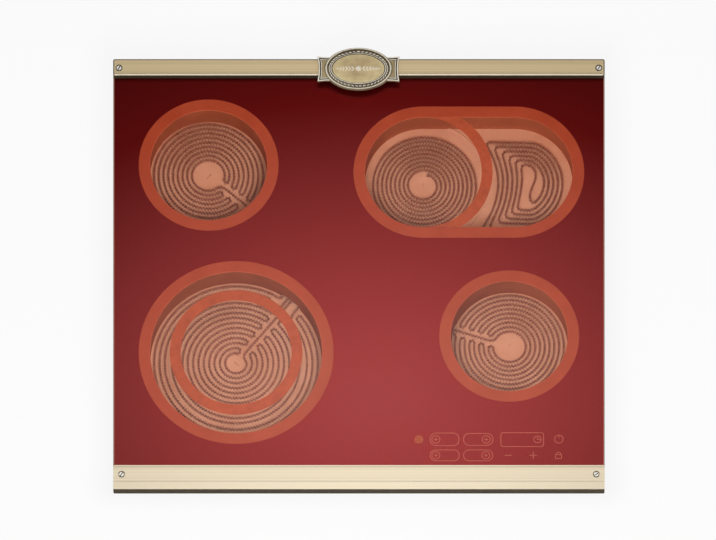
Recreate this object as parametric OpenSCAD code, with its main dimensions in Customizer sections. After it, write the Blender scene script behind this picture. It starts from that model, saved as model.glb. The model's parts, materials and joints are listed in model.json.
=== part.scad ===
// Built-in ceramic glass cooktop with four radiant heating zones, touch controls and two metal trim bars.
// Millimetres. +Z is up and +X is to the user's right; the user stands on the -Y side.
// The origin is the middle of the worktop cut-out's plane: z = 0 is the worktop that the seal rests on.

/* [Glass] */
// Width of the glass panel, left to right
glass_w = 590; // [586:1:640]
// Depth of the glass panel, front to back
glass_d = 510; // [506:1:560]
// Thickness of the glass panel
glass_t = 4; // [3:0.5:6]
// Corner radius of the glass panel
glass_corner = 3; // [1:0.5:6]

/* [Trim bars] */
// How far the front bar stands out past the glass edge
front_trim_out = 24; // [20:0.5:30]
// How far the rear bar stands out past the glass edge
rear_trim_out = 16; // [13:0.5:22]
// How far the front bar laps over the glass
front_trim_lap = 6; // [4:0.5:9]
// How far the rear bar laps over the glass
rear_trim_lap = 5; // [4:0.5:8]
// Height of both bars above the glass
trim_rise = 11; // [8:0.5:14]
// Depth of the sloping band along the front of the front bar
front_band = 9; // [6:0.5:11]
// Drop of that sloping band
front_band_drop = 2.4; // [1:0.1:4]
// Depth of the bead along the edge next to the glass
trim_bead = 2.2; // [1.5:0.1:3]
// Width and depth of the grooves beside a band or bead
trim_groove = 0.7; // [0.4:0.1:1]
// Thickness of the skirt that hangs outside the flange
trim_skirt = 1.6; // [1.2:0.1:3]
// Thickness of the bars' top wall
trim_wall = 2.5; // [2:0.1:3.5]
// Gap between the skirt and the worktop
trim_floor_gap = 0.5; // [0.2:0.1:1]
// Radius of the rounded corners and edges of the bars
trim_round = 2; // [1:0.1:2.6]

/* [Trim screws] */
// Shank radius of the slotted trim screws
trim_screw_r = 2; // [1.5:0.1:2.5]
// Head radius of the slotted trim screws
trim_head_r = 3.3; // [3:0.1:3.6]
// Head height of the slotted trim screws
trim_head_h = 2; // [1.5:0.1:2.6]
// Distance from the rear bar's end to its screw
rear_screw_inset = 7; // [6:0.5:12]
// Distance from the front bar's end to its screw
front_screw_inset = 10; // [6:0.5:14]
// Distance from the rear bar's outer face to its screws
rear_screw_back = 11.6; // [8:0.1:12]
// Distance from the front bar's outer face to its screws
front_screw_back = 18.3; // [8:0.1:19]

/* [Medallion] */
// Width of the medallion over its two wings
medallion_w = 98; // [84:1:120]
// Half width of its oval
oval_a = 41; // [34:0.5:42]
// Half depth of its oval, front to back
oval_b = 27; // [20:0.5:30]
// Half depth of the wings at their outer ends
wing_b = 16; // [10:0.5:18]
// Thickness of the medallion's back plate
medallion_plate_t = 3; // [2:0.5:5]
// Rise of its rim above the back plate
medallion_rim_t = 2.5; // [1.5:0.5:4]
// Width of its rim at the left and right
medallion_rim_w = 9; // [6:0.5:10]
// Width of its rim at the front and back
medallion_rim_d = 6.5; // [5:0.5:8]
// Distance between the two fixing studs
stud_spacing = 40; // [24:1:52]

/* [Worktop fit] */
// How far the glass laps over the worktop at the left and right
side_lap = 15; // [13:0.5:22]
// How far the glass laps over the worktop at the front and rear
depth_lap = 10; // [9.5:0.5:16]
// Gap between the steel box and the cut-out on each side
cutout_gap = 3; // [2:0.5:5]
// Thickness of the foam seal once it is pressed
seal_t = 1.5; // [1:0.25:2.5]
// Width of the foam seal
seal_w = 8; // [5:0.5:8]
// Thickness of the silicone between glass and flange
adhesive_t = 0.5; // [0.3:0.1:1]
// Thickness of the sheet steel
sheet_t = 1; // [0.8:0.1:1.2]

/* [Heating zones] */
// Radius of the window over a small zone
small_window_r = 84; // [80:0.5:86]
// Radius of the window over the large two-ring zone
large_window_r = 117; // [112:0.5:120]
// Distance between the two end centres of the oval zone
oval_stretch = 109; // [100:1:112]
// Gap from the round heaters to the side walls
side_gap = 10; // [6:0.5:13]
// Gap from the oval heater to the right wall
oval_side_gap = 4; // [3:0.5:7]
// Share of the depth left over by the left heaters that lies behind them
rear_left_share = 0.204; // [0.15:0.001:0.25]
// Share of the depth left over by the right heaters that lies behind them
rear_right_share = 0.172; // [0.14:0.001:0.2]
// Share of the depth left over by the left heaters that lies in front of them
front_left_share = 0.3125; // [0.25:0.0005:0.35]
// Share of the depth left over by the right heaters that lies in front of them
front_right_share = 0.5516; // [0.52:0.0002:0.57]

/* [Heater build] */
// Depth from the glass down to the heater's base
cavity_depth = 40; // [34:0.5:44]
// Thickness of the insulating base
base_t = 8; // [6:0.5:12]
// Wall of the insulating ring that shows in the window
ring_wall = 14; // [12:0.5:15]
// How far the ring goes on under the printed glass
ring_hidden = 0.8; // [0.4:0.1:1.5]
// Thickness of the steel dish
dish_t = 0.6; // [0.5:0.1:1]
// Gap between insulation and dish
dish_gap = 0.2; // [0.1:0.05:0.4]
// Height of the bow springs that press a dish to the glass
spring_h = 5.4; // [4:0.2:8]
// Thickness of the bow springs
spring_t = 0.8; // [0.5:0.1:1.2]
// Inner radius of the low ridge between the two circuits of the large zone
divider_in_r = 79.4; // [79.2:0.2:79.6]
// Wall of the low ridges between two circuits
divider_wall = 2.4; // [1.6:0.2:2.6]
// Height of the low ridges between two circuits
divider_h = 4.4; // [3:0.2:6]
// Height of the lead slots at the foot of the rings
lead_slot_h = 7; // [6:0.5:10]

/* [Heating ribbon] */
// Width that the corrugated ribbon takes up
ribbon_w = 2.8; // [2:0.1:3]
// Height of the ribbon
ribbon_h = 4; // [3:0.25:5]
// Number of tracks in a small zone
small_tracks = 9; // [5:2:9]
// Radius of a small zone's outer track
small_track_r = 65.2; // [63:0.2:66]
// Distance between tracks in a round zone
track_pitch = 5.7; // [5:0.1:5.8]
// Number of tracks in the inner circuit of the large zone
inner_tracks = 11; // [5:2:11]
// Distance between tracks in that inner circuit
inner_pitch = 6.4; // [5:0.1:6.5]
// Radius of the inner circuit's outer track
inner_track_r = 76.9; // [75.5:0.2:77.1]
// Number of tracks in the outer circuit of the large zone
outer_tracks = 3; // [1:2:3]
// Radius of the outer circuit's outer track
outer_track_r = 98; // [97:0.2:99]
// Distance between tracks in the outer circuit
outer_pitch = 6.4; // [6:0.1:6.6]
// Half width of the bare strip where the leads run out
lead_strip = 9; // [8.5:0.25:11]
// Half width of that strip in the outer circuit
outer_lead_strip = 22; // [21:0.5:26]
// Number of full turns of the oval zone's round spiral
spiral_turns = 9; // [5:1:9]
// Radius of the spiral's outer turn
spiral_r = 64; // [62:0.25:64.25]
// Distance between the spiral's turns
spiral_pitch = 5.2; // [4.6:0.1:5.4]
// Room kept between the side circuit and the long walls
side_room = 11.5; // [10:0.25:13]
// Share of the side circuit's reach from one line to the next
side_step = 0.1; // [0.095:0.005:0.12]

/* [Controls] */
// Distance from the front wall to the front row of touch keys
key_row_front = 10; // [10:0.5:12]
// Distance between the two rows of touch keys
key_row_gap = 20; // [16:0.5:24]
// Distance from the right wall to the last touch key
key_right = 36; // [34.5:0.5:48]
// Radius of a touch pad
pad_r = 4.5; // [3:0.25:5]
// Height of the touch pads between board and glass
pad_h = 8.4; // [6:0.2:12]
// Thickness of the circuit boards
board_t = 1.6; // [1:0.1:2]
// Wall of the plastic parts
plastic_t = 2; // [1.5:0.1:2.4]

/* [Power board] */
// Gap between the front left heater and the power board's housing
house_left_gap = 3; // [2:0.2:6]
// Room between that housing and the front right heater, for its terminal
house_right_gap = 24.6; // [23:0.2:30]
// Depth of the power board, front to back
power_d = 150; // [120:1:156]
// Height of the power board above the floor
power_lift = 13; // [10:0.5:16]

/* [Mains terminal] */
// Width of the opening for the terminal box
terminal_w = 80; // [74:1:90]
// Depth of that opening, front to back
terminal_d = 36; // [34:0.5:42]
// Height of the terminal box
terminal_h = 29; // [26:0.5:34]
// Wall of the terminal box
terminal_wall = 3; // [2.5:0.1:4]
// Width of the part of the box that holds the cable inlet
inlet_w = 26; // [22:0.5:30]
// Radius of the cable inlet
inlet_r = 7; // [5:0.25:8]
// Radius of the cover's hinge pins
hinge_pin_r = 1.2; // [0.9:0.1:1.3]
// Clearance round the hinge pins and the clamp screws
pin_gap = 0.08; // [0.04:0.01:0.1]

/* [Worktop clamps] */
// Thinnest worktop that the clamps hold
worktop_min = 28; // [26:0.5:30]
// Travel of a clamp along its screw
clamp_travel = 10; // [6:0.5:11]
// Length of a clamp arm from its screw
clamp_arm = 32; // [26:1:34]
// Thickness of a clamp arm
clamp_t = 5; // [3:0.5:5]
// Half width of a clamp arm
clamp_half_w = 7; // [5:0.5:7.5]
// Radius of the clamp screws
clamp_screw_r = 2.5; // [2:0.1:3]
// Depth of the notch in the side wall that a clamp folds into
notch_depth = 18; // [17:0.5:19]
// Length of that notch
notch_len = 44; // [42:1:46]
// Gap between a notch's wall and the heater next to it
notch_gap = 5; // [3:0.5:8]

/* [Hidden] */
$fn = 96;
ellipse_steps = 48;
// Largest distance between a ribbon's curve and its straight facets
chord_sag = 0.6;
cut = 1;
fit_gap = 0.3;

// Levels, from the worktop up and down
flange_z = seal_t;
flange_top = flange_z + sheet_t;
glass_z = flange_top + adhesive_t;
glass_top = glass_z + glass_t;
trim_top = glass_top + trim_rise;
base_top = glass_z - cavity_depth;
dish_floor = base_top - base_t;
dish_z = dish_floor - dish_t;
plate_top = dish_z - spring_h;
box_z = plate_top - sheet_t;

// Plan of the steel box
cutout_w = glass_w - 2 * side_lap;
cutout_d = glass_d - 2 * depth_lap;
box_w = cutout_w - 2 * cutout_gap;
box_d = cutout_d - 2 * cutout_gap;
wall_x = box_w / 2 - sheet_t;
wall_y = box_d / 2 - sheet_t;
rear_face = glass_d / 2 + rear_trim_out;
front_face = -glass_d / 2 - front_trim_out;
flange_inset = 3;
flange_side = glass_w / 2 - flange_inset;
seal_inset = 1;
bond_inset = 1;
flange_rear = rear_face - trim_skirt - fit_gap;
flange_front = front_face + trim_skirt + fit_gap;

// Heaters
function half_chord(r, d) = sqrt(max(0, r * r - d * d));
small_dish_r = small_window_r + ring_hidden + dish_gap + dish_t;
large_dish_r = large_window_r + ring_hidden + dish_gap + dish_t;
left_free = 2 * (wall_y - small_dish_r - large_dish_r);
right_free = 2 * (wall_y - 2 * small_dish_r);
rear_left_gap = rear_left_share * left_free;
rear_right_gap = rear_right_share * right_free;
front_left_gap = front_left_share * left_free;
front_right_gap = front_right_share * right_free;
rear_left = [-wall_x + side_gap + small_dish_r, wall_y - rear_left_gap - small_dish_r];
front_right = [wall_x - side_gap - small_dish_r, -wall_y + front_right_gap + small_dish_r];
front_left = [-wall_x + side_gap + large_dish_r, -wall_y + front_left_gap + large_dish_r];
rear_right = [wall_x - oval_side_gap - small_dish_r - oval_stretch,
    wall_y - rear_right_gap - small_dish_r];
rear_left_turn = -40;
front_right_turn = 162;
front_left_turn = 50;
small_ring_in = small_window_r - ring_wall;
large_ring_in = large_window_r - ring_wall;
divider_out_r = divider_in_r + divider_wall;
// Outer radius of the oval zone's ridge, and how far that zone's circuits are set towards the front
oval_divider_r = small_ring_in + 8;
circuit_drop = 4;
dish_drop = 6;
dish_wall_top = glass_z - dish_drop;
// Share of the bare strip's half width at which the outer lead lies
lead_share = 0.55;
slot_room = 1.5;
slot_half = lead_share * lead_strip + ribbon_w / 2 + slot_room;
wide_slot_half = lead_share * outer_lead_strip + ribbon_w / 2 + slot_room;
terminal_depth = 12;
terminal_sink = 2;
terminal_z = base_top - terminal_sink;
terminal_tall = lead_slot_h + 5;
tab_len = 8;
tab_t = 0.8;
tab_w = 4.5;
tab_slot_w = tab_w + 2;
tab_root = 4;
tab_lift = 1;
tab_shift = 1;
oval_tab_y = 3.8;

// Oval zone's circuits, from the middle of its round end
spiral_start = -78;
spiral_lead_x = spiral_r * cos(spiral_start) - 2.5;
// Sweep of the spiral past its last full turn
spiral_tail = 148;
spiral_last = spiral_start + 360 * spiral_turns + spiral_tail;
spiral_in_r = spiral_r - (spiral_last - spiral_start) / 360 * spiral_pitch;
spiral_end = [spiral_in_r * cos(spiral_last), spiral_in_r * sin(spiral_last) - circuit_drop];
return_rod_r = 1.2;
return_rod = spiral_end;
return_rod_z = base_top - base_t / 2;
// Room between the side circuit and the ridge, and between it and the round wall
side_ridge_room = 10;
side_end_room = 5.4;
side_core = [(oval_divider_r + side_ridge_room / 2 + oval_stretch + small_ring_in) / 2, -circuit_drop];
side_start = 134;
side_core_share = 0.32;
side_end = side_start + 360 * (1 - side_core_share) / (2 * side_step);
side_line = small_ring_in - side_room;
side_front = side_line + circuit_drop;
// Sweep of the side circuit between two of its points
side_turn = 12;
// How far the side circuit's leads step aside and reach out before they meet its lines
side_in = 2.5;
side_out = 4;
side_reach_out = 5;

// Trim screws
rear_screw = [glass_w / 2 - rear_screw_inset, rear_face - rear_screw_back];
front_screw = [glass_w / 2 - front_screw_inset, front_face + front_screw_back];
head_ring = 0.9;
head_recess = trim_head_h + 0.2;
nut_body_r = trim_screw_r + 1;
nut_disc_r = nut_body_r + 1.5;
nut_disc_t = 0.8;
nut_rise = 3;
boss_r = 5;
slot_w = 0.9;
slot_t = 1.2;

// Medallion
medallion_back = 14;
medallion_y = rear_face - medallion_back;
// Shares of the rim's width between which its groove lies
rim_groove_in = 0.8;
rim_groove_out = 0.7;
rim_groove_t = 1;
wing_panel_inset = 3;
wing_panel_t = 1;
wing_waist_in = 4;
wing_waist_lap = 6;
stud_y = (glass_d / 2 + fit_gap + trim_skirt + rear_face - trim_wall) / 2;
medallion_waist_r = 14;
stud_r = 1.5;
stud_head_r = 3;
stud_head_t = 2;

// Plate screws sit in the front and rear walls
plate_screw_r = 1.7;
plate_screw_len = 4;
plate_head_r = 3.2;
plate_head_t = 1.6;
plate_rim_h = 12;
plate_rim_inset = 2;
plate_screw_rise = 7;
plate_screw_z = box_z + plate_screw_rise;
plate_screw_count = 5;
plate_screw_inset = 37;
plate_screw_step = (box_w - 2 * plate_screw_inset) / (plate_screw_count - 1);

// Vent slots in the floor, between the heaters and below the boards
vent_len = 40;
vent_w = 4;
vent_step = 12;
vent_back = 20;
vent_front = 34;
middle_vent_y = 70;

// Bow springs between the floor and the dishes
spring_half = 20;
spring_crown = 5;
spring_foot = 4;
spring_w = 12;
small_spring_r = 50;
large_spring_r = 75;
oval_spring_y = 45;

// Controls
key_row = -wall_y + key_row_front;
key_steps = [0, 60, 86.5, 117, 147.5];
key_left = wall_x - key_right - key_steps[4];
rear_keys = [0, 1, 3, 4];
front_keys = [0, 1, 2, 3, 4];
key_margin = 10;
board_top = glass_z - pad_h;
board_front = -box_d / 2 + plate_screw_len + fit_gap + plastic_t;
board_back = 6;
board_d = key_row_front + key_row_gap + board_back;
digit_h = pad_h - fit_gap;
digit_d = 10;
digit_w = 8;
digit_step = 14;
clock_w = 18;
lamp_w = 6;
lamp_step = 20.6;

// Power board
power_gap = 1;
house_left = front_left[0] + large_dish_r + house_left_gap;
house_right = front_right[0] - small_dish_r - house_right_gap;
house_w = house_right - house_left;
power_w = house_w - 2 * (power_gap + plastic_t);
power_x = (house_left + house_right) / 2;
power_y = -45;
house_d = power_d + 2 * (power_gap + plastic_t);
house_rear = power_y + house_d / 2;
power_top = plate_top + power_lift + board_t;
relay_h = 15;
relay_d = 12;
relay_step = 22;
relay_edge = 8;
relay_count = 6;
transformer_d = 32;
transformer_h = relay_h + 3;
capacitor_y = 10;
capacitor_h = relay_h - 2;
socket_d = 14;
socket_step = 20;
socket_h = 9;
socket_edge = 1;
// Shares of the board's width between which its parts lie
relay_from = 0.07;
relay_to = 0.29;
transformer_from = 0.45;
transformer_to = 0.78;
capacitor_places = [0.47, 0.6, 0.73];
capacitor_share = 0.055;
socket_from = 0.9;
house_room = 6;
house_h = power_lift + board_t + relay_h + house_room;

// Mains terminal box
box_rim = 3;
box_rim_t = 1.5;
slab_t = 6;
terminal_y = wall_y - box_rim_t - box_rim - terminal_d;
passage_left = rear_left[0] + half_chord(small_dish_r, terminal_y - rear_left[1]);
passage_right = rear_right[0] - half_chord(small_dish_r, terminal_y - rear_right[1]);
terminal_x = (passage_left + passage_right - terminal_w) / 2;
hinge_pin_len = 2;
pin_end_gap = 0.1;
hinge_drop = 2;
hinge_room = 0.6;
hinge_y = terminal_y + terminal_wall + hinge_drop + hinge_room;
hinge_z = box_z + hinge_drop;
cover_x = terminal_x + terminal_wall + fit_gap;
cover_w = terminal_w - inlet_w - terminal_wall - 2 * fit_gap;
cover_end = terminal_y + terminal_d - terminal_wall - fit_gap;
block_w = 44;
block_d = 18;
block_h = 14;
block_poles = 5;
block_edge = 2;
block_top = box_z + terminal_h - terminal_wall;
block_screw_r = 2;
block_screw_len = 8;
block_screw_sink = 1;

// Wiring
loom_r = 2.2;
loom_z = plate_top + loom_r + 2 * fit_gap;
cable_w = 12;
cable_t = 1.2;
cable_slot = 4;
cable_edge = 6;
cable_x = power_x + power_w / 2 - cable_w - cable_edge;
board_x = cable_x - cable_edge;
board_w = key_left + key_steps[4] + key_margin - board_x;
// Steps by which the looms keep apart from each other and from the housing
loom_step = 10;
loom_turn = 8;
loom_rise = 4;

// Worktop clamps
clamp_inset = notch_depth / 2;
clamp_x = box_w / 2 - clamp_inset;
notch_wall = box_w / 2 - notch_depth - sheet_t;
notch_end = notch_gap + sheet_t + notch_len / 2;
front_notch_y = notch_end + max(front_left[1] + half_chord(large_dish_r, notch_wall + front_left[0]),
    front_right[1] + half_chord(small_dish_r, notch_wall - front_right[0]));
rear_notch_y = -notch_end + min(rear_left[1] - half_chord(small_dish_r, notch_wall + rear_left[0]),
    rear_right[1] - half_chord(small_dish_r, notch_wall - rear_right[0] - oval_stretch));
clamp_head_r = 4.5;
clamp_head_h = 3;
driver_hole_r = 3;
clamp_low = -worktop_min - clamp_travel;
hub_r = 6;
hub_h = 4;

// Plan shapes
module rounded_plan(w, d, r) {
    square([w - 2 * r, d], center = true);
    square([w, d - 2 * r], center = true);
    for (x = [-1, 1])
        for (y = [-1, 1])
            translate([x * (w / 2 - r), y * (d / 2 - r)])
                circle(r);
}

// A circle, or a slot shape when it is stretched along X
module zone_plan(r, stretch) {
    circle(r);
    if (stretch > 0) {
        translate([stretch, 0])
            circle(r);
        translate([0, -r])
            square([stretch, 2 * r]);
    }
}

module slab(z, h) {
    translate([0, 0, z])
        linear_extrude(h)
            children();
}

module box(low, high) {
    translate(low)
        cube(high - low);
}

module rod(low, r, h) {
    translate(low)
        cylinder(r = r, h = h);
}

function ellipse(a, b) = [for (i = [0:ellipse_steps - 1]) [a * cos(360 * i / ellipse_steps),
    b * sin(360 * i / ellipse_steps)]];

// Glass, its seal and its bond
module glass_panel()
    color("maroon", 0.8)
        slab(glass_z, glass_t)
            rounded_plan(glass_w, glass_d, glass_corner);

module worktop_seal()
    color("dimgray")
        slab(0, seal_t)
            difference() {
                square([cutout_w + 2 * (seal_inset + seal_w), cutout_d + 2 * (seal_inset + seal_w)],
                    center = true);
                square([cutout_w + 2 * seal_inset, cutout_d + 2 * seal_inset], center = true);
            }

module glass_adhesive()
    color("black")
        slab(flange_top, adhesive_t)
            difference() {
                square([2 * flange_side, glass_d - 2 * bond_inset], center = true);
                square([box_w, box_d], center = true);
            }

// Trim bars, drawn with the outer face towards +Y and turned for the front
module bar_section(out, lap, band, drop) {
    top = trim_rise + glass_t + adhesive_t;
    inner = glass_d / 2 - lap;
    outer = glass_d / 2 + out;
    bead_y = inner + trim_bead;
    band_y = outer - band;
    difference() {
        union() {
            translate([inner, glass_top - flange_top])
                square([outer - inner, trim_rise - trim_round]);
            translate([inner + trim_round, top - trim_round])
                square([outer - inner - 2 * trim_round, trim_round]);
            for (y = [inner + trim_round, outer - trim_round])
                translate([y, top - trim_round])
                    circle(trim_round);
            translate([glass_d / 2 + fit_gap, 0])
                square([out - fit_gap, top - trim_round]);
            translate([outer - trim_skirt, trim_floor_gap - flange_top])
                square([trim_skirt, flange_top]);
        }
        translate([bead_y, top - trim_groove])
            square([trim_groove, 2 * trim_groove]);
        if (band > 0) {
            translate([band_y - trim_groove, top - 2 * trim_groove])
                square([trim_groove, 3 * trim_groove]);
            polygon([[band_y, top - trim_groove], [band_y, top + cut], [outer + cut, top + cut],
                [outer + cut, top - drop]]);
        }
    }
}

module trim_bar(out, lap, band, drop, screw) {
    outer = glass_d / 2 + out;
    inner = glass_d / 2 - lap;
    difference() {
        intersection() {
            translate([0, 0, flange_top])
                rotate([90, 0, 90])
                    linear_extrude(glass_w, center = true)
                        bar_section(out, lap, band, drop);
            slab(0, trim_top + cut)
                translate([0, (inner + outer) / 2])
                    rounded_plan(glass_w, outer - inner, trim_round);
        }
        // Channel inside the bar, with a boss left round each screw
        difference() {
            box([-flange_side - fit_gap, glass_d / 2 + fit_gap + trim_skirt, -cut],
                [flange_side + fit_gap, outer - trim_wall, trim_top - trim_wall - drop]);
            for (x = [-1, 1])
                rod([x * screw[0], screw[1], flange_top], boss_r, trim_top);
        }
        box([-flange_side - fit_gap, glass_d / 2, -cut],
            [flange_side + fit_gap, outer - trim_skirt, flange_top]);
        for (x = [-1, 1]) {
            rod([x * screw[0], screw[1], 0], trim_screw_r + 0.2, trim_top + cut);
            rod([x * screw[0], screw[1], trim_top - head_recess], trim_head_r + head_ring, head_recess + cut);
            rod([x * screw[0], screw[1], 0], nut_body_r + fit_gap, flange_top + nut_rise + fit_gap);
        }
    }
}

module rear_trim()
    color("rosybrown")
        difference() {
            trim_bar(rear_trim_out, rear_trim_lap, 0, 0, rear_screw);
            for (x = [-1, 1])
                rod([x * stud_spacing / 2, stud_y, 0], stud_r + 0.2, trim_top + cut);
        }

module front_trim()
    color("wheat")
        rotate(180)
            trim_bar(front_trim_out, front_trim_lap, front_band, front_band_drop, -front_screw);

// Every trim screw's place and the turn of its slot
trim_screw_places = [[-rear_screw[0], rear_screw[1], 60], [rear_screw[0], rear_screw[1], 62],
    [-front_screw[0], front_screw[1], 55], [front_screw[0], front_screw[1], 35]];

module trim_screws()
    color("darkgoldenrod")
        for (p = trim_screw_places)
            translate([p[0], p[1], 0])
                difference() {
                    union() {
                        rod([0, 0, trim_top - head_recess], trim_head_r, trim_head_h);
                        rod([0, 0, flange_z - nut_disc_t], trim_screw_r,
                            trim_top - head_recess - flange_z + nut_disc_t);
                    }
                    rotate(p[2])
                        translate([0, 0, trim_top])
                            cube([2 * trim_head_r + cut, slot_w, 2 * slot_t], center = true);
                }

module trim_nuts()
    color("silver")
        for (p = trim_screw_places)
            translate([p[0], p[1], 0])
                difference() {
                    union() {
                        rod([0, 0, flange_z - nut_disc_t], nut_disc_r, nut_disc_t);
                        rod([0, 0, flange_z], nut_body_r, sheet_t + nut_rise);
                    }
                    rod([0, 0, -cut], trim_screw_r + 0.05, flange_top + nut_rise + 2 * cut);
                }

// Medallion on the rear bar
module wing_plan(inset) {
    waist_x = oval_a - wing_waist_in;
    end = medallion_w / 2 - inset;
    half = wing_b - inset;
    for (side = [-1, 1])
        difference() {
            translate([side > 0 ? 0 : -end, -half])
                square([end, 2 * half]);
            for (y = [-1, 1])
                translate([side * waist_x, y * (wing_b + medallion_waist_r - wing_waist_lap)])
                    circle(medallion_waist_r + inset);
        }
}

// The oval, or one that lies a share of the rim's width further in
module rim_oval(share)
    polygon(ellipse(oval_a - share * medallion_rim_w, oval_b - share * medallion_rim_d));

module medallion()
    color("tan")
        translate([0, medallion_y, trim_top])
            difference() {
                union() {
                    slab(0, medallion_plate_t) {
                        rim_oval(0);
                        wing_plan(0);
                    }
                    slab(0, medallion_plate_t + medallion_rim_t)
                        difference() {
                            rim_oval(0);
                            rim_oval(1);
                        }
                }
                // Sunk panels in the wings
                slab(medallion_plate_t - wing_panel_t, wing_panel_t + cut)
                    difference() {
                        wing_plan(wing_panel_inset);
                        rim_oval(0);
                    }
                // Groove that splits the rim into two borders
                slab(medallion_plate_t + medallion_rim_t - rim_groove_t, rim_groove_t + cut)
                    difference() {
                        rim_oval(rim_groove_out);
                        rim_oval(rim_groove_in);
                    }
            }

module medallion_studs()
    color("silver")
        for (x = [-1, 1])
            translate([x * stud_spacing / 2, stud_y, 0]) {
                rod([0, 0, trim_top - trim_wall - stud_head_t], stud_r, trim_wall + stud_head_t);
                rod([0, 0, trim_top - trim_wall - stud_head_t], stud_head_r, stud_head_t);
            }

// Notches in the side walls, one for each clamp
module notch_plan(grow) {
    for (x = [-1, 1])
        for (y = [front_notch_y, rear_notch_y])
            translate([x * (box_w / 2 - notch_depth / 2), y])
                square([notch_depth + 2 * grow, notch_len + 2 * grow], center = true);
}

module inner_plan(gap) {
    difference() {
        square([2 * (wall_x - gap), 2 * (wall_y - gap)], center = true);
        notch_plan(sheet_t + gap);
    }
}

module plate_screw_places() {
    for (i = [0:plate_screw_count - 1])
        for (turn = [0, 180])
            rotate(turn)
                translate([(i - (plate_screw_count - 1) / 2) * plate_screw_step, box_d / 2, plate_screw_z])
                    rotate([90, 0, 0])
                        children();
}

module chassis_frame()
    color("gainsboro")
        difference() {
            union() {
                // Flange that carries the glass
                slab(flange_z, sheet_t)
                    difference() {
                        translate([-flange_side, flange_front])
                            square([2 * flange_side, flange_rear - flange_front]);
                        inner_plan(0);
                    }
                // Walls
                slab(box_z, flange_z - box_z)
                    difference() {
                        square([box_w, box_d], center = true);
                        inner_plan(0);
                        notch_plan(0);
                    }
                // Floors of the notches
                slab(box_z, sheet_t)
                    notch_plan(0);
            }
            for (x = [-1, 1])
                for (y = [front_notch_y, rear_notch_y])
                    clamp_place(x, y) {
                        rod([0, 0, flange_z - cut], clamp_screw_r + pin_gap, sheet_t + 2 * cut);
                        rod([0, 0, box_z - cut], driver_hole_r, sheet_t + 2 * cut);
                    }
            for (p = trim_screw_places)
                rod([p[0], p[1], 0], nut_body_r, flange_top + cut);
            plate_screw_places()
                translate([0, 0, -cut])
                    cylinder(r = plate_screw_r + 0.2, h = 2 * cut + sheet_t);
        }

module vent_group(x, y, count) {
    for (i = [0:count - 1])
        translate([x, y + i * vent_step])
            square([vent_len, vent_w], center = true);
}

module bottom_plate()
    color("silver")
        difference() {
            union() {
                slab(box_z, sheet_t)
                    difference() {
                        inner_plan(fit_gap);
                        translate([terminal_x - fit_gap, terminal_y - fit_gap])
                            square([terminal_w + 2 * fit_gap, terminal_d + 2 * fit_gap]);
                        vent_group(rear_left[0], rear_left[1] - small_dish_r - vent_back, 1);
                        vent_group((rear_left[0] + rear_right[0]) / 2, middle_vent_y, 4);
                        vent_group(power_x, power_y - power_d / 3, 6);
                        vent_group(front_right[0], -wall_y + front_right_gap - vent_front, 3);
                    }
                // Upturned rims along the front and rear
                for (y = [-1, 1])
                    box([-wall_x + plate_rim_inset, y * (wall_y - fit_gap) - (y > 0 ? sheet_t : 0), box_z],
                        [wall_x - plate_rim_inset, y * (wall_y - fit_gap) + (y > 0 ? 0 : sheet_t),
                        box_z + plate_rim_h]);
            }
            plate_screw_places()
                cylinder(r = plate_screw_r + 0.05, h = plate_screw_len + cut);
        }

module plate_screws()
    color("gray")
        plate_screw_places() {
            translate([0, 0, -plate_head_t])
                cylinder(r = plate_head_r, h = plate_head_t);
            cylinder(r = plate_screw_r, h = plate_screw_len);
        }

// Heater pieces, drawn round their own middle with the leads towards +X
module lead_slot(half, z, h, from, to)
    box([from, -half, z], [to, half, z + h]);

module dish(r, stretch) {
    slab(dish_z, dish_t)
        zone_plan(r, stretch);
    slab(dish_floor, dish_wall_top - dish_floor)
        difference() {
            zone_plan(r, stretch);
            zone_plan(r - dish_t, stretch);
        }
}

module round_dish(r, half) {
    color("lightgray")
        difference() {
            dish(r, 0);
            lead_slot(half, base_top - fit_gap, lead_slot_h + fit_gap, r - 5, r + 5);
        }
}

module round_base(r)
    color("bisque")
        slab(dish_floor, base_t)
            circle(r - dish_t - dish_gap);

module round_ring(out, in, half)
    color("sandybrown")
        difference() {
            slab(base_top, cavity_depth)
                difference() {
                    circle(out);
                    circle(in);
                }
            lead_slot(half, base_top - cut, lead_slot_h + cut, in / 2, out + cut);
        }

module terminal(r, half, leads) {
    w = half + slot_room;
    color("ivory")
        difference() {
            box([r, -w, terminal_z], [r + terminal_depth, w, terminal_z + terminal_tall]);
            for (y = leads)
                box([r + terminal_depth - tab_root, y - tab_slot_w / 2, base_top + tab_lift],
                    [r + terminal_depth + cut, y + tab_slot_w / 2, base_top + tab_lift + tab_t]);
        }
    color("goldenrod")
        for (y = leads)
            box([r + terminal_depth - tab_root, y - tab_w / 2, base_top + tab_lift],
                [r + terminal_depth + tab_len, y + tab_w / 2, base_top + tab_lift + tab_t]);
}

// Ribbon paths
function arc_steps(r, sweep) = max(4, ceil(sweep / (2 * acos(1 - chord_sag / r))));

function track(r, half, back) =
    let (a = asin(half / r), n = arc_steps(r, 360 - 2 * a))
    [for (i = [0:n]) let (k = back ? n - i : i, t = a + (360 - 2 * a) * k / n) r * [cos(t), sin(t)]];

// Three points of a half turn from one track's end to the next track's start, bulging towards y = 0
function hairpin(from, to) =
    let (mid = (from + to) / 2, half = (from - to) / 2, way = from[1] > 0 ? -1 : 1)
    [for (t = [45, 90, 135]) mid + half * cos(t) + [0, way * norm(half) * sin(t)]];

function track_end(r, half, side) = [sqrt(r * r - half * half), side * half];

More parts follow.
